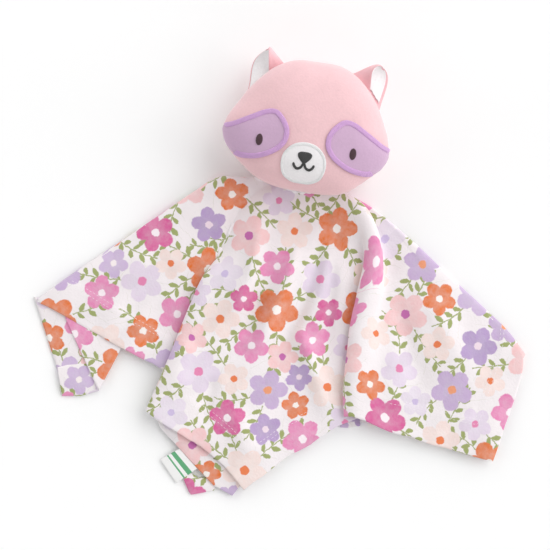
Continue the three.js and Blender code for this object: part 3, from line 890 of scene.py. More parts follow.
@dataclass
class Ear:
    """One ear: a leaf of velour folded lengthwise over a white lining."""

    head: Head
    side: Side
    inner_root: float = 65
    outer_root: float = 28
    tip_root: float = 0.35
    near_root: float = 0.33
    length: float = 18.5
    lean: float = 83
    root_gap: float = 0.1
    root_depth: float = 1.2
    depth: float = 6.8
    belly: float = 8.5
    fullness: float = 1.5
    roundness: float = 1.0
    back: float = 1.4
    lining: float = 1.0
    lining_gap: float = 0.2
    rim: float = 0.12
    fold_belly: float = 0.0
    near_belly: float = 0.0
    # The ear bends from the seam to a place a fifth of the way further out.
    bend: Place = (1.0, 1.2)

    def root(self, share: Array) -> Array:
        """A point of the head's seam where the ear is sewn in.

        Args:
            share: 0 at the ear's fold and 1 at its outer end.

        Returns:
            The point in the head's plan.
        """
        beta = np.radians(self.inner_root + (self.outer_root - self.inner_root) * share)
        beta = math.pi / 2 + self.side.value * (beta - math.pi / 2)
        seam = self.head.surface(beta, np.full_like(beta, math.pi / 2), True, self.root_gap)
        return seam[..., :2] * (self.side.value, 1)

    def leaf(self, u: Array, v: Array, offset: float) -> Array:
        """The folded leaf. u is -1 at the near rim, 0 at the fold and 1 at the far rim.

        Each line of the leaf runs from its root to the tip, the roundness above one drawing it
        close to the tip early so that the end is round. The far side swells outwards, and the
        fold and near side the other way. Its height is sin(u pi / 2) times a depth that swells
        as sin(pi v^fullness).

        Args:
            u: Across the leaf.
            v: From root to tip.
            offset: How far outside the leaf's own surface.

        Returns:
            The points in the toy's frame.
        """
        base = self.root(np.where(u < 0, -u * self.near_root, u))
        lean = math.radians(self.lean)
        way = np.array([math.cos(lean), math.sin(lean)])
        tip = self.root(np.array([self.tip_root]))[0] + self.length * way
        ends = self.root(np.array([0.0, 1.0]))
        opening = (ends[1] - ends[0]) / np.hypot(*(ends[1] - ends[0]))
        chord = tip - base
        outward = np.stack([chord[..., 1], -chord[..., 0]], -1)
        outward /= np.hypot(outward[..., 0], outward[..., 1])[..., None]
        swell = np.sin(math.pi * v**self.fullness)
        along = 1 - (1 - v) ** self.roundness
        place = base + chord * along[..., None]
        bulge = self.belly * np.maximum(u, 0) ** 2 - self.near_belly * np.minimum(u, 0) ** 2
        bulge = bulge - self.fold_belly * (1 - u**2)
        place = place + outward * (bulge * swell)[..., None]
        place = place - opening * (offset * np.cos(u * math.pi / 2))[..., None]
        half = self.root_depth + (self.depth - self.root_depth) * swell
        z = -np.sin(u * math.pi / 2) * (half + offset)
        return self.head.to_world(np.stack([self.side.value * place[..., 0], place[..., 1], z], -1))

    def build(self, outer: Material, inner: Material) -> None:
        """Make the ear's back and lining.

        Args:
            outer: Velour of the back.
            inner: Velour of the lining.
        """
        word = self.side.name.lower()
        u, v = np.meshgrid(np.linspace(-1, 1, 60), np.linspace(0, 1, 40))
        middle = np.append(self.root(np.array([0.5]))[0] * (self.side.value, 1), 0)
        start, end = (tuple(self.head.to_world(middle * share) * MM) for share in self.bend)
        back = shell(f"ear_{word}_velour", self.leaf(u, v, self.back), self.leaf(u, v, 0), False)
        low, high = self.rim * 0.5, 1 - self.rim
        u, v = u * (1 - self.rim * 0.6), low + (high - low) * v
        layers = (self.leaf(u, v, -offset) for offset in (self.lining_gap, self.lining))
        lining = shell(f"ear_{word}_lining_velour", *layers, False)
        for piece, material, slot, node in (
            (back, outer, "pink_velour", f"ear_{word}_back"),
            (lining, inner, "white_velour", f"ear_{word}_lining"),
        ):
            piece.data.materials.append(material)
            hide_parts(node)
            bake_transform(piece)
        LOG.info("ear %s made", word)


@dataclass(frozen=True)
class Rib:
    """One line of the cloth from the neck to the hem: bearings, heights, reach and hem place."""

    bearing: Array
    height: Array
    reach: float
    edge: float


@dataclass(frozen=True)
class Strip:
    """A further stretch of the cloth beside the front, ruled between a near and a far line.

    The lines hold heights too, near meaning nearer the neck. The print takes a panel's turn,
    moved by shift in the flat square, and bow is how much the strip's middle stands up.
    """

    name: str
    near: tuple[Spot, ...]
    far: tuple[Spot, ...]
    panel: Panel
    shift: Place = (0, 0)
    bow: float = 0.6


@dataclass
class Cloth:
    """The blanket: one square, gathered at its centre, its front half fanned over its back."""

    side: float = 350
    neck_radius: float = 4
    thickness: float = 1.3
    hem_depth: float = 23
    hem_rows: float = 3
    stitch_pitch: float = 3.1
    stitch_length: float = 2.1
    stitch_half: float = 0.18
    front_step: float = 2.6
    back_step: float = 4.5
    crossing: float = 0.52
    stations: tuple[float, ...] = (0, 0.12, 0.25, 0.36, 0.48, 0.6, 0.75, 0.9, 1)
    left_edge: tuple[float, ...] = (180, 184, 177.6, 186.5, 193.5, 197.5, 200.7, 203, 204.3)
    pleat_tip: tuple[float, ...] = (190, 194, 208, 219.5, 224, 229.2, 233, 235.4, 236.4)
    roll_line: tuple[float, ...] = (338, 336, 331, 320, 305.5, 292.5, 285.5, 282, 281)
    right_edge: tuple[float, ...] = (341, 341, 337.3, 333, 329.8, 327.4, 325.6, 324.1, 322.4)
    wing_heights: tuple[Row, ...] = (
        (0.25, 206, 103, (4.5, 6, 9.5, 12, 11, 9, 7, 6, 5.2)),
        (0.5, 194, 131, (4.5, 6, 9.5, 12.2, 11.2, 9, 7, 6, 5.2)),
        (0.78, 185.5, 163, (4.5, 6, 9, 10.5, 9, 7.4, 6.2, 5.6, 5)),
    )
    centre_heights: tuple[Row, ...] = (
        (0.12, 214.5, 275, (4.5, 6, 11.5, 12.2, 12, 11.5, 10.4, 9.5, 8.8)),
        (0.3, 217.5, 300, (4.5, 6.2, 11.5, 11.5, 10.5, 10, 9.5, 9.2, 8.6)),
        (0.459, 225, 322, (5, 6.5, 11, 10.5, 9.4, 9, 8.6, 8.2, 7.6)),
        (0.56, 234, 334, (5, 6.5, 11, 10.5, 9.4, 9, 8.6, 8, 7)),
        (0.607, 241, 342, (5, 6.8, 11, 10.5, 9.3, 8.7, 8, 7.2, 6.4)),
        (0.695, 228.6, 360, (5, 7, 11, 10.5, 9.2, 8.4, 7.6, 6.6, 6)),
        (0.858, 211.6, 385, (5, 7, 11, 10.5, 8.8, 7.6, 6.6, 6.2, 5.8)),
    )
    right_heights: tuple[Row, ...] = (
        (0.2, 233.5, 657, (5, 5.5, 5.6, 6.5, 7.6, 8.4, 7.6, 6.2, 5.6)),
        (0.394, 260, 700, (5, 5.4, 5.6, 6, 7.2, 7.5, 7, 5.8, 5.2)),
        (0.55, 244, 731, (5, 5.3, 5.6, 6, 6.9, 7.2, 6.7, 5.7, 5.1)),
        (0.78, 230, 760, (5, 5.2, 5.6, 6, 6.6, 7, 6.4, 5.6, 5)),
    )
    back_reaches: tuple[Spot, ...] = (
        (315, 229, 815), (308, 243, 850), (304.2, 258, 875), (298.7, 234, 905), (292, 210, 935),
        (286.6, 197, 960), (283, 190.5, 980), (280, 190, 1000), (276, 194, 1020),
        (270, 204, 1045), (262, 226, 1085), (257.8, 240, 1110), (250.6, 215, 1150),
        (240, 205, 1200), (234, 178, 1250), (228, 183, 1300), (220, 193, 1350), (210, 205, 1430),
    )
    # Height, length and seed of the uneven waves all over.
    waves: tuple[tuple[float, float, int], ...] = ((0.9, 62, 7), (0.35, 24, 8))
    # Each soft fold's height, width and line.
    folds: tuple[tuple[float, float, Line], ...] = (
        (5.5, 6.5, ((-29, -29), (-39, -77), (-57, -112))),
        (6.5, 6.5, ((-1, -52), (-21, -103), (-39, -136))),
        (6.0, 7.0, ((-3, -112), (11, -150), (25, -184))),
        (-4.5, 6.0, ((17, -44), (8, -82), (-5, -112), (-24, -145))),
        (-3.0, 5.0, ((25, -60), (21, -108), (22, -150))),
        (-3.5, 6.0, ((-27, -88), (-42, -124))),
        (3.5, 8.0, ((-84, -122), (-98, -165))),
        (-2.5, 6.0, ((-66, -150), (-74, -190))),
        (3.0, 9.0, ((-55, -176), (-32, -212))),
        (2.5, 9.0, ((-112, -58), (-160, -84))),
        (-2.5, 7.0, ((-92, -66), (-140, -102))),
        (2.5, 8.0, ((-88, -84), (-126, -122))),
        (2.8, 10.0, ((96, -92), (128, -152))),
        (-2.2, 8.0, ((72, -92), (94, -168))),
        (2.0, 9.0, ((72, -130), (70, -180))),
    )
    strips: tuple[Strip, ...] = (
        Strip(
            "blanket_back_corner",
            ((-168, -98, 3.0), (-152, -140, 3.0), (-140, -124, 3.0)),
            ((-202.5, -91, 1.7), (-183, -152, 1.9), (-156, -159, 2.2)),
            Panel.LEFT,
            (40, -60),
        ),
        Strip(
            "blanket_back_corner_turned_hem",
            ((-184.6, -144.4, 3.0), (-173, -141.6, 3.0), (-161, -138.8, 3.1)),
            ((-181.2, -166.2, 2.0), (-167, -166.2, 2.0), (-153, -162.2, 2.1)),
            Panel.LEFT,
            (90, 20),
        ),
        Strip(
            "blanket_back_corner_fold",
            ((-177, -103, 3.8), (-157, -103, 3.6), (-133, -116, 3.6)),
            ((-178.5, -107, 4.2), (-153.2, -162, 4.8), (-135.6, -129, 4.0)),
            Panel.LEFT,
            (10, 60),
            0.2,
        ),
        Strip(
            "blanket_centre_edge",
            (
                (-110, -180, 5.6), (-92, -191, 5.4), (-76, -200, 5.2), (-57, -215, 5),
                (-40, -226, 4.6),
            ),
            (
                (-106, -191, 3.9), (-92, -206, 3.9), (-78.5, -221, 3.8), (-66, -234, 3.7),
                (-52, -241.7, 3.5),
            ),
            Panel.CENTRE,
        ),
        Strip(
            "blanket_back_edge_centre",
            ((-88, -222, 1.8), (-78, -228, 1.8), (-62, -228, 1.8)),
            ((-88.6, -230.6, 1.5), (-84, -241.4, 1.5), (-66, -238, 1.5)),
            Panel.CENTRE,
            (60, 30),
        ),
        Strip(
            "blanket_back_edge_notch",
            ((30, -176, 1.9), (36, -176, 1.9), (44, -176, 1.9)),
            ((30, -190, 1.6), (37, -190.5, 1.6), (45, -189, 1.6)),
            Panel.CENTRE,
            (-20, 50),
        ),
    )

    def relief(self, x: Array, y: Array) -> Array:
        """Height of the soft folds that run over the front.

        Each adds its height times exp(-(d / width)^2), d the distance to its line, and fades
        towards both ends of the line.

        Args:
            x: Places across the table.
            y: Places up the table.

        Returns:
            Heights to add.
        """
        total = np.zeros_like(x)
        for height, width, line in self.folds:
            nearest, place, run = np.full_like(x, np.inf), np.zeros_like(x), 0.0
            for (ax, ay), (bx, by) in zip(line[:-1], line[1:]):
                long = math.hypot(bx - ax, by - ay)
                share = np.clip(((x - ax) * (bx - ax) + (y - ay) * (by - ay)) / long**2, 0, 1)
                away = np.hypot(x - ax - share * (bx - ax), y - ay - share * (by - ay))
                place = np.where(away < nearest, run + share * long, place)
                nearest = np.minimum(nearest, away)
                run += long
            fade = smooth_step(-0.06, 0.24, place / run) * smooth_step(-0.06, 0.3, 1 - place / run)
            total += height * fade * np.exp(-((nearest / width / (0.85 + 0.3 * place / run)) ** 2))
        return total

    def across(self, guide: Array, offset: Array, reach: float) -> Array:
        """Bearings, at the stations, of a line that lies some way to the right of a guide.

        The angle between them is the offset over the distance out, and fades near the neck.

        Args:
            guide: The guide's bearings.
            offset: Distances to the right.
            reach: The line's length from the neck to the hem.

        Returns:
            The line's bearings.
        """
        t = np.array(self.stations)
        away = self.neck_radius + t * (reach - self.neck_radius)
        return guide + np.degrees(offset * np.minimum(1, t / 0.25) / away)

    def pleat_ribs(self) -> list[Rib]:
        """The left pleat, where the left wing slides under the centre panel's left edge.

        Near the head it is a shallow valley; towards the hem three layers lie on each other.
        Each line has an offset and a height near the head (top) and towards the hem (low).
        """
        t = np.array(self.stations)
        deep = 33 * t * smooth_step(0.44, 0.62, t)
        top = (
            (-16, 10), (-11, 8.2), (-7, 6.4), (-3, 5.2), (-1, 5), (1, 5), (4, 5.8), (7, 7.4),
            (12, 9.8), (18, 12),
        )
        low = (
            (-14, 4.6), (-3, 4), (8, 3.4), (deep + 2, 3.4), (deep + 2, 5), (6, 5.6), (-0.5, 6.2),
            (-0.5, 10.2), (4.5, 12), (14, 11.6),
        )
        reaches = (180.5, 179.5, 179, 179, 188, 200, 210, 212, 212.5, 213.5)
        edges = (187.8, 196, 205, 216, 222, 236, 247, 252, 257, 262)
        shut, gather = smooth_step(0.38, 0.56, t), smooth_step(0, 0.25, t)
        ribs = []
        for (x1, z1), (x2, z2), reach, edge in zip(top, low, reaches, edges):
            offset = x1 + (x2 - x1) * shut
            height = 4.6 + (z1 + (z2 - z1) * shut - 4.6) * gather
            bearing = self.across(np.array(self.pleat_tip), offset, reach)
            ribs.append(Rib(bearing, height, reach, edge))
        return ribs

    def roll_ribs(self) -> list[Rib]:
        """The roll between centre and right wing.

        It leans right near the head, stands up where it crosses over, and lies over to the
        left towards the hem, with a pocket of cloth under it that deepens to the hem. Each line
        has an offset and a height near the head (top), half way (middle) and at the hem (low).
        """
        t = np.array(self.stations)
        deep = 60 * t
        top = (
            (-30, 8), (-24, 8.8), (-19, 9.8), (-15, 11), (-11, 12.6), (-7, 14.4), (-3, 16),
            (1.5, 16.2), (4.8, 13.8), (4, 10.2), (-5, 7), (-4, 5.2),
        )
        middle = (
            (-28, 7.5), (-17, 6), (-6, 5), (-1, 5), (-5, 6.2), (-10.5, 8.6), (-9.5, 13.5), (-3, 17),
            (4, 17), (8, 12.5), (4, 7), (15, 6),
        )
        low = (
            (-32, 6.5), (-14, 5), (0.5 * deep, 4), (deep + 3, 4), (0.5 * deep, 5.6), (-3.2, 6.6),
            (-3.6, 11.4), (3, 15.4), (3 + 9 * t, 14.6), (1 + 19 * t, 12.4), (30 * t, 9.8),
            (42 * t, 8),
        )
        reaches = (203, 191, 184, 184, 184, 183.5, 184, 185, 190, 197, 205, 213)
        edges = (416, 446, 475, 495, 539, 565, 582, 587, 591, 600, 611, 621)
        rise, fall = smooth_step(0.3, 0.45, t), smooth_step(0.5, 0.66, t)
        gather = smooth_step(0, 0.25, t)
        ribs = []
        for (x1, z1), (x2, z2), (x3, z3), reach, edge in zip(top, middle, low, reaches, edges):
            offset = (x1 + (x2 - x1) * rise) * (1 - fall) + x3 * fall
            height = (z1 + (z2 - z1) * rise) * (1 - fall) + z3 * fall
            height = 4.8 + (height - 4.8) * gather
            bearing = self.across(np.array(self.roll_line), offset, reach)
            ribs.append(Rib(bearing, height, reach, edge))
        return ribs

    @staticmethod
    def between(first: Array, last: Array, rows: tuple) -> list[Rib]:
        """Lines at shares of the way from one line's bearings to another's."""
        return [
            Rib(first + (last - first) * share, np.array(heights, float), reach, edge)
            for share, reach, edge, heights in rows
        ]

    def ribs(self) -> tuple[list[Rib], dict[str, int]]:
        """All control lines round the cloth, and where each stretch of them starts."""
        left, right = np.array(self.left_edge), np.array(self.right_edge)
        pleat, roll = self.pleat_ribs(), self.roll_ribs()
        level = np.full(len(self.stations), 2.4)
        rim_left = np.array([4, 5, 7, 8, 6.5, 5.5, 4.8, 4.6, 4.4])
        rim_right = np.array([4, 4.6, 4.8, 5, 5.2, 5.2, 5, 4.8, 4.6])
        inset = 3 * np.ones(len(self.stations))
        inset_right = np.array([0.5, 0.5, 0.6, 1, 1.8, 2.6, 3, 3, 3])
        ribs = [
            Rib(left, level, 221, 75.4),
            Rib(self.across(left, inset, 219.5), rim_left, 219.5, 79),
        ]
        ribs += self.between(left, pleat[0].bearing, self.wing_heights)
        marks = {"pleat": len(ribs)}
        ribs += pleat
        marks["centre"] = len(ribs)
        ribs += self.between(pleat[-1].bearing, roll[0].bearing, self.centre_heights)
        marks["roll"] = len(ribs)
        ribs += roll
        marks["right"] = len(ribs)
        ribs += self.between(roll[-1].bearing, right, self.right_heights)
        ribs += [
            Rib(self.across(right, -inset_right, 217.5), rim_right, 217.5, 781),
            Rib(right, level, 216.3, 784.6),
        ]
        marks["back"] = len(ribs)
        under = np.full(len(self.stations), 0.2)
        for bearing, reach, edge in self.back_reaches:
            share = (bearing - right[-1]) / (left[-1] - right[-1])
            ribs.append(Rib(right + (left - right) * share, under, reach, edge))
        return ribs, marks

    def along(self, values: Array, t: Array) -> Array:
        """Smooth curves through values at the stations, by cubic Hermite pieces.

        The slope at a station is the mean of the slopes to its two neighbours.

        Args:
            values: Stations by lines.
            t: Places from neck to hem.

        Returns:
            Places by lines.
        """
        at = np.array(self.stations)
        slope = np.diff(values, axis=0) / np.diff(at)[:, None]
        tangent = np.vstack([slope[:1], (slope[1:] + slope[:-1]) / 2, slope[-1:]])
        k = np.clip(np.searchsorted(at, t, side="right") - 1, 0, len(at) - 2)
        span = (at[k + 1] - at[k])[:, None]
        u = ((t - at[k])[:, None]) / span
        return (
            values[k] * (2 * u**3 - 3 * u**2 + 1)
            + tangent[k] * span * (u**3 - 2 * u**2 + u)
            + values[k + 1] * (3 * u**2 - 2 * u**3)
            + tangent[k + 1] * span * (u**3 - u**2)
        )

    def rows(self) -> Array:
        """Places of the mesh's rows from neck to hem.

        They are closer together at the hem's rounded edge, and where the print parts on the roll.
        """
        parting = [self.crossing - 6e-4, self.crossing + 6e-4]
        close = [0.989, 0.992, 0.9945, 0.9965, 0.9985, 1]
        return np.sort(np.concatenate([np.linspace(0, 0.986, 82), parting, close]))

    @staticmethod
    def spline(values: Array, k: Array, u: Array) -> Array:
        """A uniform cubic B-spline round the control lines.

        Args:
            values: The lines' values, along the last axis.
            k: The line before each place.
            u: Share of the way from it to the next.

        Returns:
            The curve's value at each place.
        """
        weights = (
            (1 - u) ** 3 / 6,
            (3 * u**3 - 6 * u**2 + 4) / 6,
            (-3 * u**3 + 3 * u**2 + 3 * u + 1) / 6,
            u**3 / 6,
        )
        around = (values[..., (k + step) % values.shape[-1]] for step in (-1, 0, 1, 2))
        return sum(weight * value for weight, value in zip(weights, around))

    def grid(self) -> dict[str, Array]:
        """Work the cloth out as a grid.

        Bearings and heights follow a uniform cubic B-spline across the control lines. So does
        the reach near the neck, but it runs straight between them at the hem, so that the
        cloth's corners stay sharp.

        Returns:
            Points, places along and across, hem places, and the first column of each stretch.
        """
        ribs, marks = self.ribs()
        t = self.rows()
        bearing = self.along(np.stack([rib.bearing for rib in ribs], 1), t)
        height = self.along(np.stack([rib.height for rib in ribs], 1), t)
        reach, edge = np.array([(rib.reach, rib.edge) for rib in ribs], float).T
        count = len(ribs)
        near = int(np.argmin(np.abs(t - 0.8)))
        r = self.neck_radius + t[near] * (reach - self.neck_radius)
        way = np.radians(bearing[near])
        ends = np.stack([r * np.cos(way), r * np.sin(way), height[near]], -1)
        gaps = np.linalg.norm(np.roll(ends, -1, 0) - ends, axis=1)
        steps = np.where(np.arange(count) >= marks["back"] - 1, self.back_step, self.front_step)
        pieces = np.maximum(np.ceil(gaps / steps).astype(int), 3)
        s = np.concatenate([k + np.arange(n) / n for k, n in enumerate(pieces)])
        k, u = np.floor(s).astype(int), s - np.floor(s)
        turn, rise, soft_reach = (self.spline(table, k, u) for table in (bearing, height, reach))
        after = (k + 1) % count
        sharp = reach[k] * (1 - u) + reach[after] * u
        corner = smooth_step(0.45, 1, t)[:, None]
        length = soft_reach * (1 - corner) + sharp * corner
        h = edge[k] * (1 - u) + np.where(after == 0, edge[0] + 4 * self.side, edge[after]) * u
        away = self.neck_radius + t[:, None] * (length - self.neck_radius)
        x, y = away * np.cos(np.radians(turn)), away * np.sin(np.radians(turn))
        firsts = {name: int(np.searchsorted(s, place)) for name, place in marks.items()}
        front = smooth_step(0, 1, rise - 2.4)
        wave = sum(high * ripple(x, y, long, seed) for high, long, seed in self.waves)
        fade = smooth_step(0.1, 0.4, t)[:, None]
        lip = np.sqrt(np.clip(1 - (1 - np.clip((1 - t[:, None]) * away / 2.2, 0, 1)) ** 2, 0, 1))
        half = self.side / 2
        hem = 0.5 * smooth_step(0, 1, (t[:, None] - (1 - self.hem_depth / half)) * half / 1.5)
        soft = self.relief(x, y) * smooth_step(2.5, 8, rise)
        over = smooth_step(5, 6.5, s - marks["roll"]) * smooth_step(-12, -8.5, marks["roll"] - s)
        flatten = over * 3.2 * smooth_step(0.78, 1, t)[:, None]
        z = rise + soft - flatten + front * (wave * fade + hem - 0.7 * (1 - lip))
        return {"points": np.stack([x, y, z], -1), "t": t, "s": s, "h": h, **firsts}

    def flat_base(self, t: Array, h: Array) -> Array:
        """Where a point of the folded cloth lies in the flat square, straight from its middle.

        Args:
            t: Shares of the way to the hem.
            h: Places round the hem, counted from the flat square's top left corner downwards.

        Returns:
            Flat places in millimetres, the square's middle at zero.
        """
        half, h = self.side / 2, np.mod(h, 4 * self.side)
        run, part = np.floor(h / self.side).astype(int), np.mod(h, self.side)
        x = np.choose(run, [-half + 0 * h, part - half, half + 0 * h, half - part])
        y = np.choose(run, [half - part, -half + 0 * h, part - half, half + 0 * h])
        return np.stack([x, y], -1) * t[..., None]

    @staticmethod
    def flat_panel(panel: Panel, x: Array, y: Array) -> Array:
        """Where a point of a flat stretch lies in the flat square: a turn and a move.

        Args:
            panel: Which stretch.
            x: Places across the table.
            y: Places up the table.

        Returns:
            Flat places in millimetres.
        """
        turn, base, corner = {
            Panel.LEFT: (-60.7, (-202, -91.1), (-175, 99.5)),
            Panel.CENTRE: (-36.8, (-52.1, -241.7), (-175, -175)),
            Panel.RIGHT: (16.8, (146.1, -215.2), (175, -175)),
        }[panel]
        c, s = math.cos(math.radians(turn)), math.sin(math.radians(turn))
        dx, dy = x - base[0], y - base[1]
        return np.stack([dx * c - dy * s + corner[0], dx * s + dy * c + corner[1]], -1)

    def flat(self, grid: dict[str, Array]) -> Array:
        """Flat places of the whole grid.

        Each flat stretch of the front keeps its true shape. Across the left pleat the two
        stretches blend above and part below, under the fold. Over the roll each stretch goes
        on by the length of the surface, and they part under the roll.

        Args:
            grid: The cloth's grid.

        Returns:
            Rows by columns by two.
        """
        points, t, s = grid["points"], grid["t"][:, None], grid["s"][None, :]
        x, y = points[..., 0], points[..., 1]
        _, marks = self.ribs()
        pleat, centre, roll, back = (marks[k] for k in ("pleat", "centre", "roll", "back"))
        steps = np.linalg.norm(np.diff(points, axis=1), axis=-1)
        length = np.concatenate([np.zeros((len(points), 1)), np.cumsum(steps, 1)], 1)
        advanced = {}
        ends = ((Panel.CENTRE, grid["roll"], 1), (Panel.RIGHT, grid["right"] - 1, -1))
        for panel, start, sign in ends:
            arc = length - length[:, start : start + 1]
            aside = points[:, start + 2, :2] - points[:, start - 2, :2]
            aside /= np.linalg.norm(aside, axis=1)[:, None] + TINY
            on = (arc * sign > 0)[..., None]
            moved = points[:, start : start + 1, :2] + aside[:, None] * arc[..., None]
            place = np.where(on, moved, points[..., :2])
            advanced[panel] = self.flat_panel(panel, place[..., 0], place[..., 1])
        left = self.flat_panel(Panel.LEFT, x, y)
        soft = smooth_step(pleat, centre - 1, s) + 0 * t
        hard = smooth_step(pleat + 4.4, pleat + 4.6, s) + 0 * t
        w = (soft + (hard - soft) * smooth_step(0.46, 0.54, t))[..., None]
        flat = left * (1 - w) + advanced[Panel.CENTRE] * w
        parting = np.where(t < self.crossing, roll + 9.6, roll + 4.5)
        flat = np.where((s > parting)[..., None], advanced[Panel.RIGHT], flat)
        row = int(np.searchsorted(grid["t"], self.crossing))
        top = (grid["s"] > roll + 5) & (grid["s"] < roll + 9.6)
        grid["parting"] = np.concatenate([advanced[panel][row][top] for panel in advanced])
        base = self.flat_base(t + 0 * s, grid["h"][None, :] + 0 * t)
        behind = (s > back - 0.5) | (s < 0.5)
        return np.where(behind[..., None], base, flat)

    def body(self) -> tuple[Piece, dict[str, Array]]:
        """Build the cloth's main piece, with its flat places as a UV map."""
        grid = self.grid()
        rows, columns = grid["points"].shape[:2]
        faces = grid_faces(rows, columns, True)
        piece = mesh_object("blanket_velour", grid["points"].reshape(-1, 3), faces[:, ::-1])
        grid["flat"] = self.flat(grid)
        put_uv(piece, "flat", grid["flat"].reshape(-1, 2) / self.side + 0.5)
        wall = piece.modifiers.new("thickness", "SOLIDIFY")
        wall.thickness = self.thickness * MM
        wall.offset = -1
        wall.use_even_offset = False
        wall.material_offset = 1
        LOG.info("blanket_velour: %d by %d points", rows, columns)
        return piece, grid

    def strip(self, plan: Strip) -> Piece:
        """Make a further stretch of the cloth.

        Its height is ruled between the two lines, plus a half sine of bow across it, and its
        rim is rounded over a twenty-fifth of its width.

        Args:
            plan: Where it lies and how its print does.

        Returns:
            The closed strip, with its flat places as a UV map.
        """
        share = np.linspace(0, 1, 60)
        first, last = (
            on_line(np.array(line), np.linspace(0, 1, len(line)), share)
            for line in (plan.near, plan.far)
        )
        v = np.linspace(0, 1, 26)[:, None, None]
        top = first[None] * (1 - v) + last[None] * v
        bow = plan.bow * np.sin(math.pi * v[..., 0])
        top[..., 2] += bow + 0.3 * ripple(top[..., 0], top[..., 1], 30, 21)
        edge = np.minimum(np.minimum(v[..., 0], 1 - v[..., 0]) * 25, 1)
        top[..., 2] -= 0.4 * (1 - np.sqrt(edge))
        under = top - np.array([0, 0, self.thickness])
        under[..., 2] = np.maximum(under[..., 2], 0.05)
        piece = shell(plan.name, top, under, False)
        places = points_of(piece)
        flat = self.flat_panel(plan.panel, places[:, 0], places[:, 1]) + np.array(plan.shift)
        put_uv(piece, "flat", flat / self.side + 0.5)
        return piece

    def stitches(self, name: str, grid: dict[str, Array], start: int, stop: int) -> Piece:
        """Two rows of hem stitches along a stretch of the front, each a small round-ended bar.

        A bar is rings of six points, placed along it and sized as shares of its length and
        half width. Its ends dip into the cloth.

        Args:
            name: The piece's name.
            grid: The cloth's grid.
            start: First column.
            stop: Column after the last.

        Returns:
            The stitches, as one piece.
        """
        pitch, long, wide = self.stitch_pitch, self.stitch_length, self.stitch_half
        angle = np.arange(6) / 6 * math.tau
        rings = np.array([[-0.5, 0.25], [-0.4, 0.85], [0.0, 1.0], [0.4, 0.85], [0.5, 0.25]])
        size = len(rings) * len(angle)
        bar = grid_faces(len(rings), len(angle), True)
        caps = np.array([[5, 4, 3, 2, 1, 0], [24, 25, 26, 27, 28, 29]])
        points, faces, first = [], [], 0
        for depth in (self.hem_depth, self.hem_depth - self.hem_rows):
            place = 1 - depth / (self.side / 2)
            row = int(np.searchsorted(grid["t"], place))
            u = (place - grid["t"][row - 1]) / (grid["t"][row] - grid["t"][row - 1])
            line = (grid["points"][row - 1] * (1 - u) + grid["points"][row] * u)[start:stop]
            lengths = np.append(0, np.cumsum(np.linalg.norm(np.diff(line, axis=0), axis=1)))
            middle = (np.arange(int(lengths[-1] / pitch)) + 0.5) * pitch
            a, b = (on_line(line, lengths, middle + way * long / 2) for way in (-1, 1))
            ahead = (b - a) / (np.linalg.norm(b - a, axis=1)[:, None] + TINY)
            side = np.cross(np.array([0, 0, 1.0]), ahead)
            side /= np.linalg.norm(side, axis=1)[:, None] + TINY
            up = np.cross(ahead, side)
            radius = rings[:, 1:] * wide
            lift = np.sin(angle) * radius - 0.08 - 0.2 * (np.abs(rings[:, :1]) > 0.45)
            body = (a + b)[:, None, None] / 2
            fars = (rings[:, :1] * long + 0 * angle, np.cos(angle) * radius, lift)
            for way, far in zip((ahead, side, up), fars):
                body = body + way[:, None, None] * far[None, :, :, None]
            for base in first + np.arange(len(middle)) * size:
                faces += (bar + base).tolist() + (caps + base).tolist()
            first += len(middle) * size
            points.append(body.reshape(-1, 3))
        return mend(mesh_object(name, np.concatenate(points), faces), 0.0001)

    def build(self, finish: "PrintedVelourFinish", thread: VelourFinish) -> None:
        """Make and dress the cloth, its further strips and its hem stitches.

        Args:
            finish: Printed velour.
            thread: Sewing thread.
        """
        printed, reverse, sewing = finish.make(), finish.make_reverse(), thread.make()
        cloth, grid = self.body()
        layout = PrintLayout(clear=grid["parting"], side=self.side)
        thrown = layout.throw()
        strips = [self.strip(plan) for plan in self.strips]
        runs = {
            "left": (3, grid["pleat"] + 3),
            "centre": (grid["centre"] - 4, grid["roll"] + 6),
            "right": (grid["right"] - 14, grid["back"] - 3),
        }
        for piece in [cloth, *strips]:
            layout.put(piece, thrown)
            piece.data.materials.append(printed)
            piece.data.materials.append(reverse)
            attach(piece, "blanket")
        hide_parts("blanket_cloth")
        for word, (start, stop) in runs.items():
            row = self.stitches(f"hem_stitches_{word}", grid, start, stop)
            dress(row, sewing, "blanket", SEWING_SLOT, f"hem_stitching_{word}")


@dataclass(frozen=True)
class Bloom:
    """One flower's colours, petals and heart, and how often it comes."""

    petal: str
    heart: str
    share: float


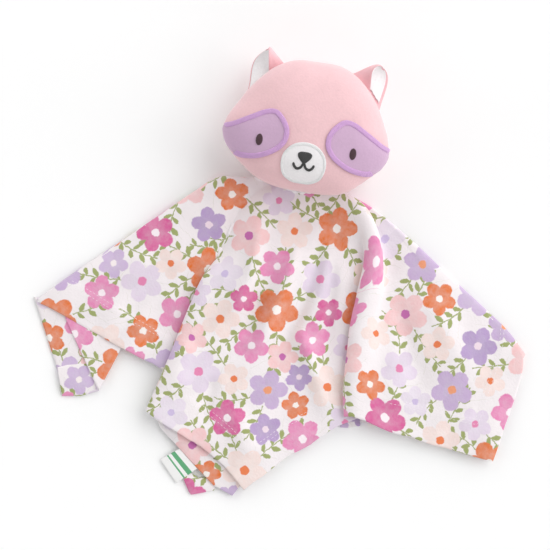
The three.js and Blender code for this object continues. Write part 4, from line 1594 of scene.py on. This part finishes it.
@dataclass
class PrintLayout:
    """The print on the flat square: where its flowers, stems and leaves lie.

    Flowers are placed one by one, the large ones first, each where it has the most room among
    many tries. Stems run out from the flowers in long bends, with pairs of leaves. Nothing is
    put on the clear places, where two stretches of the print meet over the roll.
    """

    clear: Array
    side: float = 350
    seed: int = 31
    flowers: int = 152
    sizes: tuple[float, float] = (10.8, 17.8)
    blooms: tuple[Bloom, ...] = (
        Bloom("E6D8E8", "E58BB4", 9), Bloom("E9DEEA", "CFBFE0", 4), Bloom("F4CBCC", "C872B0", 11),
        Bloom("F5E1DC", "EC8457", 13), Bloom("D0BADA", "F6ECEC", 6), Bloom("CBB3D6", "F0A27C", 3),
        Bloom("E792BC", "FBEFF4", 10), Bloom("E58459", "FBF3EE", 12), Bloom("DB70A2", "FBEFF4", 4),
        Bloom("BBA2CC", "F1DDE8", 1),
    )
    margin: float = 6
    tries: int = 240
    # A colour seldom comes again within this distance of itself.
    repeat_within: float = 45
    repeat_chance: float = 0.02
    stems_each: int = 9
    stem_bend: float = 0.11
    stem_steps: tuple[int, int] = (6, 12)
    stem_step: float = 4.2
    stem_room: float = 7.6
    clear_room: float = 6
    leaf_every: int = 2
    leaf_lean: Place = (0.75, 1.0)
    leaf_half: Place = (3.1, 4.0)
    leaf_stagger: float = 0.9

    def throw(self) -> dict[str, Array]:
        """Work out the layout.

        Returns:
            Flowers (x, y, radius, turn), their petals' and hearts' colours, stems (both ends)
            and leaves (x, y, turn, half length).
        """
        draw = np.random.default_rng(self.seed)
        half = self.side / 2 + self.margin
        radii = np.sort(draw.uniform(*self.sizes, self.flowers))[::-1]
        spots, kinds = np.zeros((0, 4)), []
        chance = np.array([bloom.share for bloom in self.blooms], float)
        for radius in radii:
            tries = draw.uniform(-half, half, (self.tries, 2))
            if len(spots):
                room = np.min(self.apart(tries, spots) / (spots[:, 2] + radius), 1)
                aside = self.apart(tries, self.clear).min(1)
                room = np.where(aside < radius * 0.96, 0, room)
                spot = tries[np.argmax(room)]
                close = np.hypot(*(spots[:, :2] - spot).T) < self.repeat_within
                near = {kinds[i] for i in np.flatnonzero(close)}
                free = chance * [self.repeat_chance if k in near else 1 for k in range(len(chance))]
            else:
                spot, free = tries[0], chance
            spots = np.vstack([spots, [*spot, radius, draw.uniform(0, math.tau)]])
            kinds.append(int(draw.choice(len(chance), p=free / free.sum())))
        lines, leaves, nodes = [], [], np.full((1, 2), 1e6)
        for x, y, radius, _ in np.repeat(spots, self.stems_each, axis=0):
            heading, bend = draw.uniform(0, math.tau), draw.uniform(-self.stem_bend, self.stem_bend)
            steps = int(draw.integers(*self.stem_steps))
            turns = heading + bend * np.arange(steps)
            way = np.stack([np.cos(turns), np.sin(turns)], -1)
            start = np.array([x, y]) + 0.8 * radius * way[0]
            path = np.vstack([start, start + np.cumsum(way * self.stem_step, 0)])
            room = self.apart(path[1:], nodes).min()
            aside = self.apart(path, self.clear).min()
            hidden = np.min(self.apart(path[1:], spots) / spots[:, 2], 1) < 0.8
            if room < self.stem_room or aside < self.clear_room or np.mean(hidden) > 0.5:
                continue
            nodes = np.vstack([nodes, path[1:]])
            lines += np.hstack([path[:-1], path[1:]]).tolist()
            for k in range(1, steps, self.leaf_every):
                for side in (-1, 1):
                    lean = turns[k] + side * draw.uniform(*self.leaf_lean)
                    length = draw.uniform(*self.leaf_half)
                    root = path[k] + side * self.leaf_stagger * way[k]
                    tip = root + (length + 0.5) * np.array([math.cos(lean), math.sin(lean)])
                    leaves.append((*tip, lean, length))
        return {
            "flower": spots,
            "petal": np.array([linear(self.blooms[kind].petal) for kind in kinds]),
            "heart": np.array([linear(self.blooms[kind].heart) for kind in kinds]),
            "stem": np.array(lines),
            "leaf": np.array(leaves),
        }

    @staticmethod
    def apart(places: Array, others: Array) -> Array:
        """Distance from each place to each of the others, places by others."""
        return np.hypot(places[:, :1] - others[:, 0], places[:, 1:2] - others[:, 1])

    @staticmethod
    def nearest(places: Array, measure: Callable, count: int = 8000) -> Array:
        """The two things nearest to each place, a block of places at a time, by their measure."""
        blocks = (measure(places[start : start + count]) for start in range(0, len(places), count))
        return np.concatenate([np.argpartition(block, 1, axis=1)[:, :2] for block in blocks])

    def put(self, piece: Piece, thrown: dict[str, Array]) -> None:
        """Write into each face of a piece the two nearest flowers, stems and leaves.

        Args:
            piece: The piece, with its flat UV map.
            thrown: The layout.
        """
        mesh = piece.data
        uv = np.zeros(len(mesh.loops) * 2, np.float32)
        mesh.uv_layers["flat"].data.foreach_get("uv", uv)
        uv = (uv.reshape(-1, 2) - 0.5) * self.side
        starts, totals = (np.zeros(len(mesh.polygons), np.int32) for _ in range(2))
        mesh.polygons.foreach_get("loop_start", starts)
        mesh.polygons.foreach_get("loop_total", totals)
        places = np.add.reduceat(uv, starts, axis=0) / totals[:, None]
        flower, leaf, stem = thrown["flower"], thrown["leaf"], thrown["stem"]
        run = stem[:, 2:] - stem[:, :2]
        square = np.sum(run**2, 1)

        def to_flowers(block: Array) -> Array:
            """Distance to each flower's rim."""
            return self.apart(block, flower) - flower[:, 2]

        def to_leaves(block: Array) -> Array:
            """Distance to each leaf's middle."""
            return self.apart(block, leaf)

        def to_stems(block: Array) -> Array:
            """Distance to each stem's line, by its nearest point."""
            dx, dy = block[:, :1] - stem[:, 0], block[:, 1:] - stem[:, 1]
            along = np.clip((dx * run[:, 0] + dy * run[:, 1]) / square, 0, 1)
            return np.hypot(dx - run[:, 0] * along, dy - run[:, 1] * along)

        measures = {
            ("flower", "petal", "heart"): to_flowers, ("leaf",): to_leaves, ("stem",): to_stems,
        }
        for words, measure in measures.items():
            picks = self.nearest(places, measure)
            for k in (0, 1):
                for word in words:
                    self.write(mesh, f"{word}_{k}", thrown[word][picks[:, k]])

    @staticmethod
    def write(mesh: bpy.types.Mesh, name: str, rows: Array) -> None:
        """Store four numbers on each face."""
        stored = mesh.attributes.new(name, "FLOAT_COLOR", "FACE")
        stored.data.foreach_set("color", rows.astype(np.float32).ravel())


@dataclass(frozen=True)
class PrintedVelourFinish:
    """White velour printed with dye, which spreads a little in the pile; its reverse is plain.

    The print is worked out from the flowers, stems and leaves stored on each face. Lengths are
    in millimetres of the flat square.
    """

    name: str
    ground: str
    leaf: str
    stem: str
    reverse: str
    pile: Pile = Pile(1.6, 0.4, roughness=0.92, gloss=0.15, sheen=0.25, sheen_roughness=0.5)
    side: float = 350
    blotch: float = 12
    # How far the dye's edges wander, and how many times to a millimetre they turn.
    wander: float = 2.2
    turns: float = 0.35
    stem_half: float = 0.4
    line_blur: float = 0.35
    leaf_trim: float = 0.1
    petals: int = 5
    petal_out: float = 0.56
    petal_narrow: float = 1.12
    petal_radius: float = 0.415
    petal_blur: float = 0.5
    heart_radius: float = 0.2
    heart_blur: float = 0.4
    brush_turns: float = 0.22

    def make(self) -> Material:
        """Build the printed side: ground, stems, leaves, then the farther and nearer flower."""
        material, tree = new_material(self.name)
        flat = add_node(tree, "UVMap", uv_map="flat")
        size, shift = (self.side, self.side, 0), (-0.5 * self.side, -0.5 * self.side, 0)
        place = add_node(tree, "VectorMath:MULTIPLY_ADD", (flat, size, shift))
        noise = {"Vector": place, "Scale": self.turns, "Detail": 2.0}
        blur = add_node(tree, "TexNoise", noise, "Color")
        blur = add_node(tree, "VectorMath:SUBTRACT", (blur, (0.5, 0.5, 0.5)))
        reach = (self.wander, self.wander, 0)
        soft = add_node(tree, "VectorMath:MULTIPLY_ADD", (blur, reach, place))
        colour = linear(self.ground)
        for measure, word in ((self.to_stem, "stem"), (self.to_leaf, "leaf")):
            dye = linear(getattr(self, word))
            for k in (0, 1):
                gap = measure(tree, soft, f"{word}_{k}")
                colour = self.ink(tree, colour, dye, gap, self.line_blur)
        for k in (1, 0):
            colour = self.flower(tree, colour, soft, k)
        self.cover(tree, colour)
        return material

    def make_reverse(self) -> Material:
        """Build the plain side."""
        material, tree = new_material(f"{self.name} reverse")
        self.cover(tree, linear(self.reverse))
        return material

    def cover(self, tree: Tree, colour: Socket | Colour) -> None:
        """Mottle the colour a little and finish it with pile."""
        place = add_node(tree, "TexCoord", output="Object")
        noise = {"Vector": place, "Scale": 1 / (self.blotch * MM), "Detail": 3.0}
        wide = add_node(tree, "TexNoise", noise)
        value = add_node(tree, "MapRange", (wide, 0, 1, 0.95, 1.05))
        mottled = add_node(tree, "HueSaturation", {"Value": value, "Color": colour})
        self.pile.cover(tree, place, mottled)

    @staticmethod
    def ink(
        tree: Tree, below: Socket | Colour, above: Socket | Colour, gap: Socket, blur: float
    ) -> Socket:
        """Print one colour over another inside a shape.

        The dye goes from full to none by a smooth step from -blur to blur of the gap.

        Args:
            tree: The material's tree.
            below: The colour that is printed over.
            above: The dye.
            gap: Distance outside the shape's edge.
            blur: How far the dye spreads in the pile.

        Returns:
            The printed colour.
        """
        span = (gap, -blur, blur, 1, 0)
        mask = add_node(tree, "MapRange", span, interpolation_type="SMOOTHSTEP")
        return add_node(tree, "Mix", {0: mask, 6: below, 7: above}, output=2, data_type="RGBA")

    @staticmethod
    def given(tree: Tree, name: str) -> tuple[bpy.types.bpy_prop_collection, Socket]:
        """The first three numbers stored on a face, split, and the fourth."""
        stored = add_node(tree, "Attribute", output="Vector", attribute_name=name)
        split = add_node(tree, "SeparateXYZ", (stored,))
        return split.node.outputs, stored.node.outputs["Alpha"]

    def to_stem(self, tree: Tree, place: Socket, name: str) -> Socket:
        """Distance outside a stem: to the nearest point of its line, less half its width.

        Args:
            tree: The material's tree.
            place: Flat place.
            name: The stored stem, as its two ends.

        Returns:
            The distance.
        """
        (ax, ay, bx), by = self.given(tree, name)
        start = add_node(tree, "CombineXYZ", (ax, ay))
        end = add_node(tree, "CombineXYZ", (bx, by))
        run = add_node(tree, "VectorMath:SUBTRACT", (end, start))
        away = add_node(tree, "VectorMath:SUBTRACT", (place, start))
        dot, square = (
            add_node(tree, "VectorMath:DOT_PRODUCT", (one, run), "Value")
            for one in (away, run)
        )
        share = add_node(tree, "Math:DIVIDE", (dot, square), use_clamp=True)
        near = add_node(tree, "VectorMath:SCALE", {0: run, "Scale": share})
        gap = add_node(tree, "VectorMath:DISTANCE", (away, near), "Value")
        return add_node(tree, "Math:SUBTRACT", (gap, self.stem_half))

    def to_leaf(self, tree: Tree, place: Socket, name: str) -> Socket:
        """Distance outside a leaf, measured across it.

        The leaf's half width is half its half length times (1 - a^2)^0.75, a from -1 to 1
        along it, less a small trim.

        Args:
            tree: The material's tree.
            place: Flat place.
            name: The stored leaf, as its middle, turn and half length.

        Returns:
            The distance.
        """
        (x, y, turn), length = self.given(tree, name)
        centre = add_node(tree, "CombineXYZ", (x, y))
        away = add_node(tree, "VectorMath:SUBTRACT", (place, centre))
        back = add_node(tree, "Math:MULTIPLY", (turn, -1.0))
        turned = {"Vector": away, "Angle": back}
        turned = add_node(tree, "VectorRotate", turned, rotation_type="Z_AXIS")
        along, aside, _ = add_node(tree, "SeparateXYZ", (turned,)).node.outputs
        a = add_node(tree, "Math:DIVIDE", (along, length))
        square = add_node(tree, "Math:MULTIPLY", (a, a))
        room = add_node(tree, "Math:MULTIPLY_ADD", (square, -1.0, 1.0))
        room = add_node(tree, "Math:MAXIMUM", (room, 0.0))
        swell = add_node(tree, "Math:POWER", (room, 0.75))
        wide = add_node(tree, "Math:MULTIPLY", (swell, length))
        half = (wide, 0.5, -self.leaf_trim)
        half = add_node(tree, "Math:MULTIPLY_ADD", half)
        aside = add_node(tree, "Math:ABSOLUTE", (aside,))
        return add_node(tree, "Math:SUBTRACT", (aside, half))

    def flower(self, tree: Tree, colour: Socket, place: Socket, k: int) -> Socket:
        """Print one five-petalled flower.

        In each fifth of the turn, a petal is a round of petal_radius about a point petal_out
        from the middle, made narrower than long, and the heart is a round of heart_radius, all
        as shares of the flower's radius. The dye is paler near the heart and brushed, and its
        value differs a little from petal to petal.

        Args:
            tree: The material's tree.
            colour: What it is printed over.
            place: Flat place, its edge made uneven.
            k: Which of the two nearest flowers.

        Returns:
            The colour with the flower on it.
        """
        (x, y, radius), turn = self.given(tree, f"flower_{k}")
        petal, heart = (
            add_node(tree, "Attribute", output="Color", attribute_name=f"{word}_{k}")
            for word in ("petal", "heart")
        )
        centre = add_node(tree, "CombineXYZ", (x, y))
        away = add_node(tree, "VectorMath:SUBTRACT", (place, centre))
        east, north, _ = add_node(tree, "SeparateXYZ", (away,)).node.outputs
        reach = add_node(tree, "VectorMath:LENGTH", (away,), "Value")
        angle = add_node(tree, "Math:ARCTAN2", (north, east))
        angle = add_node(tree, "Math:ADD", (angle, turn))
        half = math.pi / self.petals
        fifth = add_node(tree, "Math:WRAP", (angle, half, -half))
        cosine = add_node(tree, "Math:COSINE", (fifth,))
        sine = add_node(tree, "Math:SINE", (fifth,))
        out = add_node(tree, "Math:MULTIPLY", (reach, cosine))
        aside = add_node(tree, "Math:MULTIPLY", (reach, sine))
        middle = add_node(tree, "Math:MULTIPLY", (radius, self.petal_out))
        out = add_node(tree, "Math:SUBTRACT", (out, middle))
        aside = add_node(tree, "Math:MULTIPLY", (aside, self.petal_narrow))
        squares = [add_node(tree, "Math:MULTIPLY", (one, one)) for one in (out, aside)]
        square = add_node(tree, "Math:ADD", squares)
        root = add_node(tree, "Math:SQRT", (square,))
        edge, core = (
            add_node(tree, "Math:MULTIPLY", (radius, share))
            for share in (self.petal_radius, self.heart_radius)
        )
        gap = add_node(tree, "Math:SUBTRACT", (root, edge))
        which = add_node(tree, "Math:DIVIDE", (angle, 2 * half))
        which = add_node(tree, "Math:ROUND", (which,))
        tone = add_node(tree, "Math:MULTIPLY", (which, 2.4))
        tone = add_node(tree, "Math:SINE", (tone,))
        value = add_node(tree, "Math:MULTIPLY_ADD", (tone, 0.025, 1.0))
        noise = {"Vector": place, "Scale": self.brush_turns, "Detail": 3.0, "Roughness": 0.6}
        brush = add_node(tree, "TexNoise", noise)
        share = add_node(tree, "Math:DIVIDE", (reach, radius))
        full = add_node(tree, "MapRange", (share, 0.2, 0.95, 0.86, 1.04))
        brushed = add_node(tree, "MapRange", (brush, 0.3, 0.7, 0.84, 1.1))
        strong = add_node(tree, "Math:MULTIPLY", (full, brushed))
        shade = {"Saturation": strong, "Value": value, "Color": petal}
        shade = add_node(tree, "HueSaturation", shade)
        colour = self.ink(tree, colour, shade, gap, self.petal_blur)
        inside = add_node(tree, "Math:SUBTRACT", (reach, core))
        return self.ink(tree, colour, heart, inside, self.heart_blur)


@dataclass
class Neck:
    """The gathered cloth under the chin and the ring of stitches that holds it."""

    head: Head
    centre: tuple[float, float] = (0, -39.99)
    half_width: float = 12
    half_depth: float = 6.5
    pleats: int = 14
    ring_gap: float = 0.25
    ring_half: float = 0.4
    ring_bulge: float = 0.25
    ring_lift: float = 0.42
    heights: tuple[float, ...] = (5.2, 5.2, 6.0, 7.5, 9.0, 10.5, 12.0, 12.8, 12.8)
    shares: tuple[float, ...] = (0.02, 1.12, 1.16, 1.06, 1.0, 0.96, 0.97, 0.9, 0.02)

    def build(self, printed: Material, thread: Material) -> None:
        """Make the gather and its ring of stitches.

        The gather is rings of an oval, each a share of its half sizes, fluted by a cosine with
        a wave for each pleat. The ring of stitches is a torus round it, whose thickness bulges
        by the size of a sine for each stitch.

        Args:
            printed: The cloth's printed side.
            thread: Sewing thread.
        """
        angle = np.arange(112) / 112 * math.tau
        share, z = np.array(self.shares)[:, None], np.array(self.heights)[:, None]
        fluted = share * (1 + 0.06 * np.cos(angle * self.pleats) * (share > 0.5))
        x = self.centre[0] + self.half_width * fluted * np.cos(angle)
        y = self.centre[1] + self.half_depth * fluted * np.sin(angle)
        local = np.stack([x, y, z + 0 * angle - self.head.seam_height], -1)
        gather = mend(tube("neck_gathered_velour", self.head.to_world(local)))
        put_uv(gather, "flat", np.full((len(gather.data.vertices), 2), 0.5))
        gather.data.materials.append(printed)
        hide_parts("neck_gather")
        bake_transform(gather)
        low, high = (np.array(corner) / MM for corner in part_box("neck_stitching"))
        at = np.arange(240) / 240 * math.tau
        ring = np.arange(9)[:, None] / 8 * math.tau
        bulge = self.ring_half + self.ring_bulge * np.abs(np.sin(at * self.pleats))
        wide, deep = (half + self.ring_gap for half in (self.half_width, self.half_depth))
        x = self.centre[0] + (wide + bulge * np.cos(ring)) * np.cos(at)
        y = self.centre[1] + (deep + bulge * np.cos(ring)) * np.sin(at)
        middle = (low[2] + high[2]) / 2 + self.ring_lift - self.head.seam_height
        torus = self.head.to_world(np.stack([x, y, middle + bulge * np.sin(ring)], -1))
        faces = grid_faces(len(ring), len(at), True)
        stitching = mend(mesh_object("neck_stitches", torus.reshape(-1, 3), faces))
        dress(stitching, thread, "collar", SEWING_SLOT, "neck_stitching")
        LOG.info("neck made")


@dataclass
class Tag:
    """The satin tag: a ribbon folded to a flat loop and sewn into the hem."""

    root: tuple[Place, Place] = ((-92.2, -206.0), (-78.6, -221.1))
    tip: tuple[Place, Place] = ((-106.6, -214.3), (-94.5, -232.4))
    root_height: float = 3.3
    tip_height: float = 1.6
    half_gap: float = 0.45

    def build(self, material: Material) -> None:
        """Make the loop: a closed band whose section is a long flat oval.

        Round the section, at an angle a, it runs (1 - cos a) / 2 of the way from root to tip
        and stands half a gap times the sign of sin a times |sin a|^0.35 from its middle.

        Args:
            material: Satin ribbon.
        """
        across = np.linspace(0, 1, 24)[:, None]
        way = np.arange(64) / 64 * math.tau
        along = (1 - np.cos(way)) / 2
        lift = np.sign(np.sin(way)) * np.abs(np.sin(way)) ** 0.35
        root, tip = (
            (np.array(one) * (1 - across) + np.array(other) * across)[:, None]
            for one, other in (self.root, self.tip)
        )
        plan = root * (1 - along[:, None]) + tip * along[:, None]
        wave = 0.25 * np.sin(across * math.pi * 1.6) * along
        z = self.root_height + (self.tip_height - self.root_height) * along + self.half_gap * lift
        piece = mend(tube("tag_satin_ribbon", np.concatenate([plan, (z + wave)[..., None]], -1)), 0)
        uv = np.stack([along + 0 * across, across + 0 * along], -1).reshape(-1, 2)
        put_uv(piece, "ribbon", uv)
        dress(piece, material, "tag", "satin_ribbon", "side_tag")
        LOG.info("tag made")


@dataclass
class Studio:
    """Camera, pale table and soft light."""

    camera_place: Spot = (-0.0196, -0.0744, 1.2)
    field: float = 0.418
    sensor: float = 36
    table: str = "FFFFFF"
    table_lift: float = 1.02
    room_light: float = 0.42
    key: tuple[Spot, float, float] = ((1.9, 0.95, 2.1), 50.0, 1.0)
    tent_height: float = 0.4
    tent_spread: float = 40.0
    tent: tuple[float, ...] = (0.7, 0.75, 0.55, 0.35, 0.25, 0.35)
    table_half: float = 3.0

    @staticmethod
    def seen(tree: Tree) -> Socket:
        """1 on rays from the camera, off gloss or through glass, and 0 on rays that light."""
        rays = add_node(tree, "LightPath").node.outputs
        either = add_node(tree, "Math:MAXIMUM", (rays["Is Camera Ray"], rays["Is Glossy Ray"]))
        return add_node(tree, "Math:MAXIMUM", (either, rays["Is Transmission Ray"]))

    def camera(self) -> None:
        """Look straight down from where the photograph was taken."""
        data = bpy.data.cameras.new("camera")
        data.sensor_width = self.sensor
        data.lens = self.sensor * self.camera_place[2] / self.field
        data.clip_start, data.clip_end = 0.05, 20
        eye = bpy.data.objects.new("camera", data)
        eye.location = self.camera_place
        bpy.context.scene.collection.objects.link(eye)
        bpy.context.scene.camera = eye

    def floor(self) -> None:
        """A matte white table top that shows white to the camera apart from the shadows."""
        signs = np.array([[-1, -1, 0], [1, -1, 0], [1, 1, 0], [-1, 1, 0]])
        floor = mesh_object("table_top", signs * self.table_half / MM, [[0, 1, 2, 3]])
        material, tree = new_material("matte white table top")
        place = add_node(tree, "TexCoord", output="Object")
        grain = add_node(tree, "TexNoise", {"Vector": place, "Scale": 300.0, "Detail": 3.0})
        value = add_node(tree, "MapRange", (grain, 0, 1, 0.985, 1))
        bright = add_node(tree, "MapRange", (self.seen(tree), 0, 1, 1, self.table_lift))
        value = add_node(tree, "Math:MULTIPLY", (value, bright))
        colour = add_node(tree, "HueSaturation", {"Value": value, "Color": linear(self.table)})
        surface = {"Base Color": colour, "Roughness": 0.9, "Specular IOR Level": 0.1}
        surface = add_node(tree, "BsdfPrincipled", surface)
        add_node(tree, "OutputMaterial", {"Surface": surface})
        floor.data.materials.append(material)
        floor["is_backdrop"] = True

    @staticmethod
    def lamp(name: str, place: Spot, spread: float, strength: float) -> None:
        """A very large soft lamp, far off, so that it lights the whole table alike.

        Args:
            name: The lamp's name.
            place: A point towards it, in metres.
            spread: The angle that it fills, in degrees.
            strength: Its light on a surface that faces it, in watts per square metre.
        """
        data = bpy.data.lights.new(name, "SUN")
        data.angle, data.energy = math.radians(spread), strength
        lamp = bpy.data.objects.new(name, data)
        lamp.location = place
        lamp.rotation_euler = (-Vector(place)).to_track_quat("-Z", "Y").to_euler()
        bpy.context.scene.collection.objects.link(lamp)

    def light(self) -> None:
        """A soft lamp towards the right, even white light from above, and a light tent's sides.

        The sides shine in low from all round. They keep the head flat in tone, and give the
        folds and the table round the toy their soft shadows.
        """
        world = bpy.data.worlds.new("soft white room")
        bpy.context.scene.world = world
        tree = bare_tree(world)
        strength = add_node(tree, "MapRange", (self.seen(tree), 0, 1, self.room_light, 1))
        white = add_node(tree, "Background", {"Color": (1, 1, 1, 1), "Strength": strength})
        add_node(tree, "OutputWorld", {"Surface": white})
        self.lamp("key", *self.key)
        for k, strength in enumerate(self.tent):
            angle = math.tau * k / len(self.tent)
            place = (math.cos(angle), math.sin(angle), self.tent_height)
            self.lamp(f"tent_{k}", place, self.tent_spread, strength)

    def build(self) -> None:
        """Set the whole studio up."""
        self.camera()
        self.floor()
        self.light()
        bpy.context.scene.view_settings.view_transform = "Standard"


def corners() -> list[list[float]]:
    """Lowest and highest corner of what shows, as plain lists."""
    low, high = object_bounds()
    return [[float(v) for v in low], [float(v) for v in high]]


def main() -> None:
    """Build the toy piece by piece and report each one."""
    logging.basicConfig(level=logging.INFO, format="%(name)s: %(message)s")
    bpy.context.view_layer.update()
    Studio().build()
    velours = {
        "pink": VelourFinish("pink velour", "EFC6CA", Pile(sheen=0.6)),
        "white": VelourFinish("white velour", "F3F0F1"),
        "lavender": VelourFinish("lavender velour", "D0AFCB"),
    }
    threads = {
        "lavender": ThreadFinish("lavender satin stitching", "E2B2E6"),
        "white": ThreadFinish("white satin stitching", "FFFFFF"),
        "plum": ThreadFinish("plum brown embroidery", "4A3038"),
        "charcoal": ThreadFinish("charcoal embroidery", "3A3A3A"),
    }
    spun = Pile(tuft=0.4, bump=0.2, sheen=0.1)
    sewing = VelourFinish("white sewing thread", "F4F0F2", spun, mottle=0.03)
    loose = Pile(tuft=3.0)
    fibre = VelourFinish("loose white fibre filling", "F6F4F0", loose, mottle=0.03)
    dyes = {"ground": "F4EDEF", "leaf": "A2AB70", "stem": "9EA869", "reverse": "FAF4F7"}
    printed = PrintedVelourFinish("flower printed velour", **dyes)
    head = Head()
    head.build(velours["pink"], fibre)
    Face(head).build(
        {
            "patch": velours["lavender"],
            "border": threads["lavender"],
            "eye": threads["plum"],
            "muzzle": velours["white"],
            "ring": threads["white"],
            "dark": threads["charcoal"],
        }
    )
    outer = VelourFinish("pink ear velour", "F1C0C6").make()
    inner = VelourFinish("white ear lining velour", "F6F3F4").make()
    Ear(head, Side.LEFT, belly=6.0, rim=0.07).build(outer, inner)
    bellies = {"belly": 5.0, "fold_belly": 2.4, "near_belly": 5.5}
    leaf = {"length": 19.5, "lean": 58, "roundness": 1.7, "fullness": 1.15, "rim": 0.16}
    Ear(head, Side.RIGHT, near_root=0.5, **bellies, **leaf).build(outer, inner)
    Cloth().build(printed, sewing)
    Neck(head).build(printed.make_reverse(), sewing.make())
    Tag().build(RibbonFinish("white satin ribbon with green stripes", "F6F5F4", "5FA878").make())


if __name__ == "__main__":
    main()
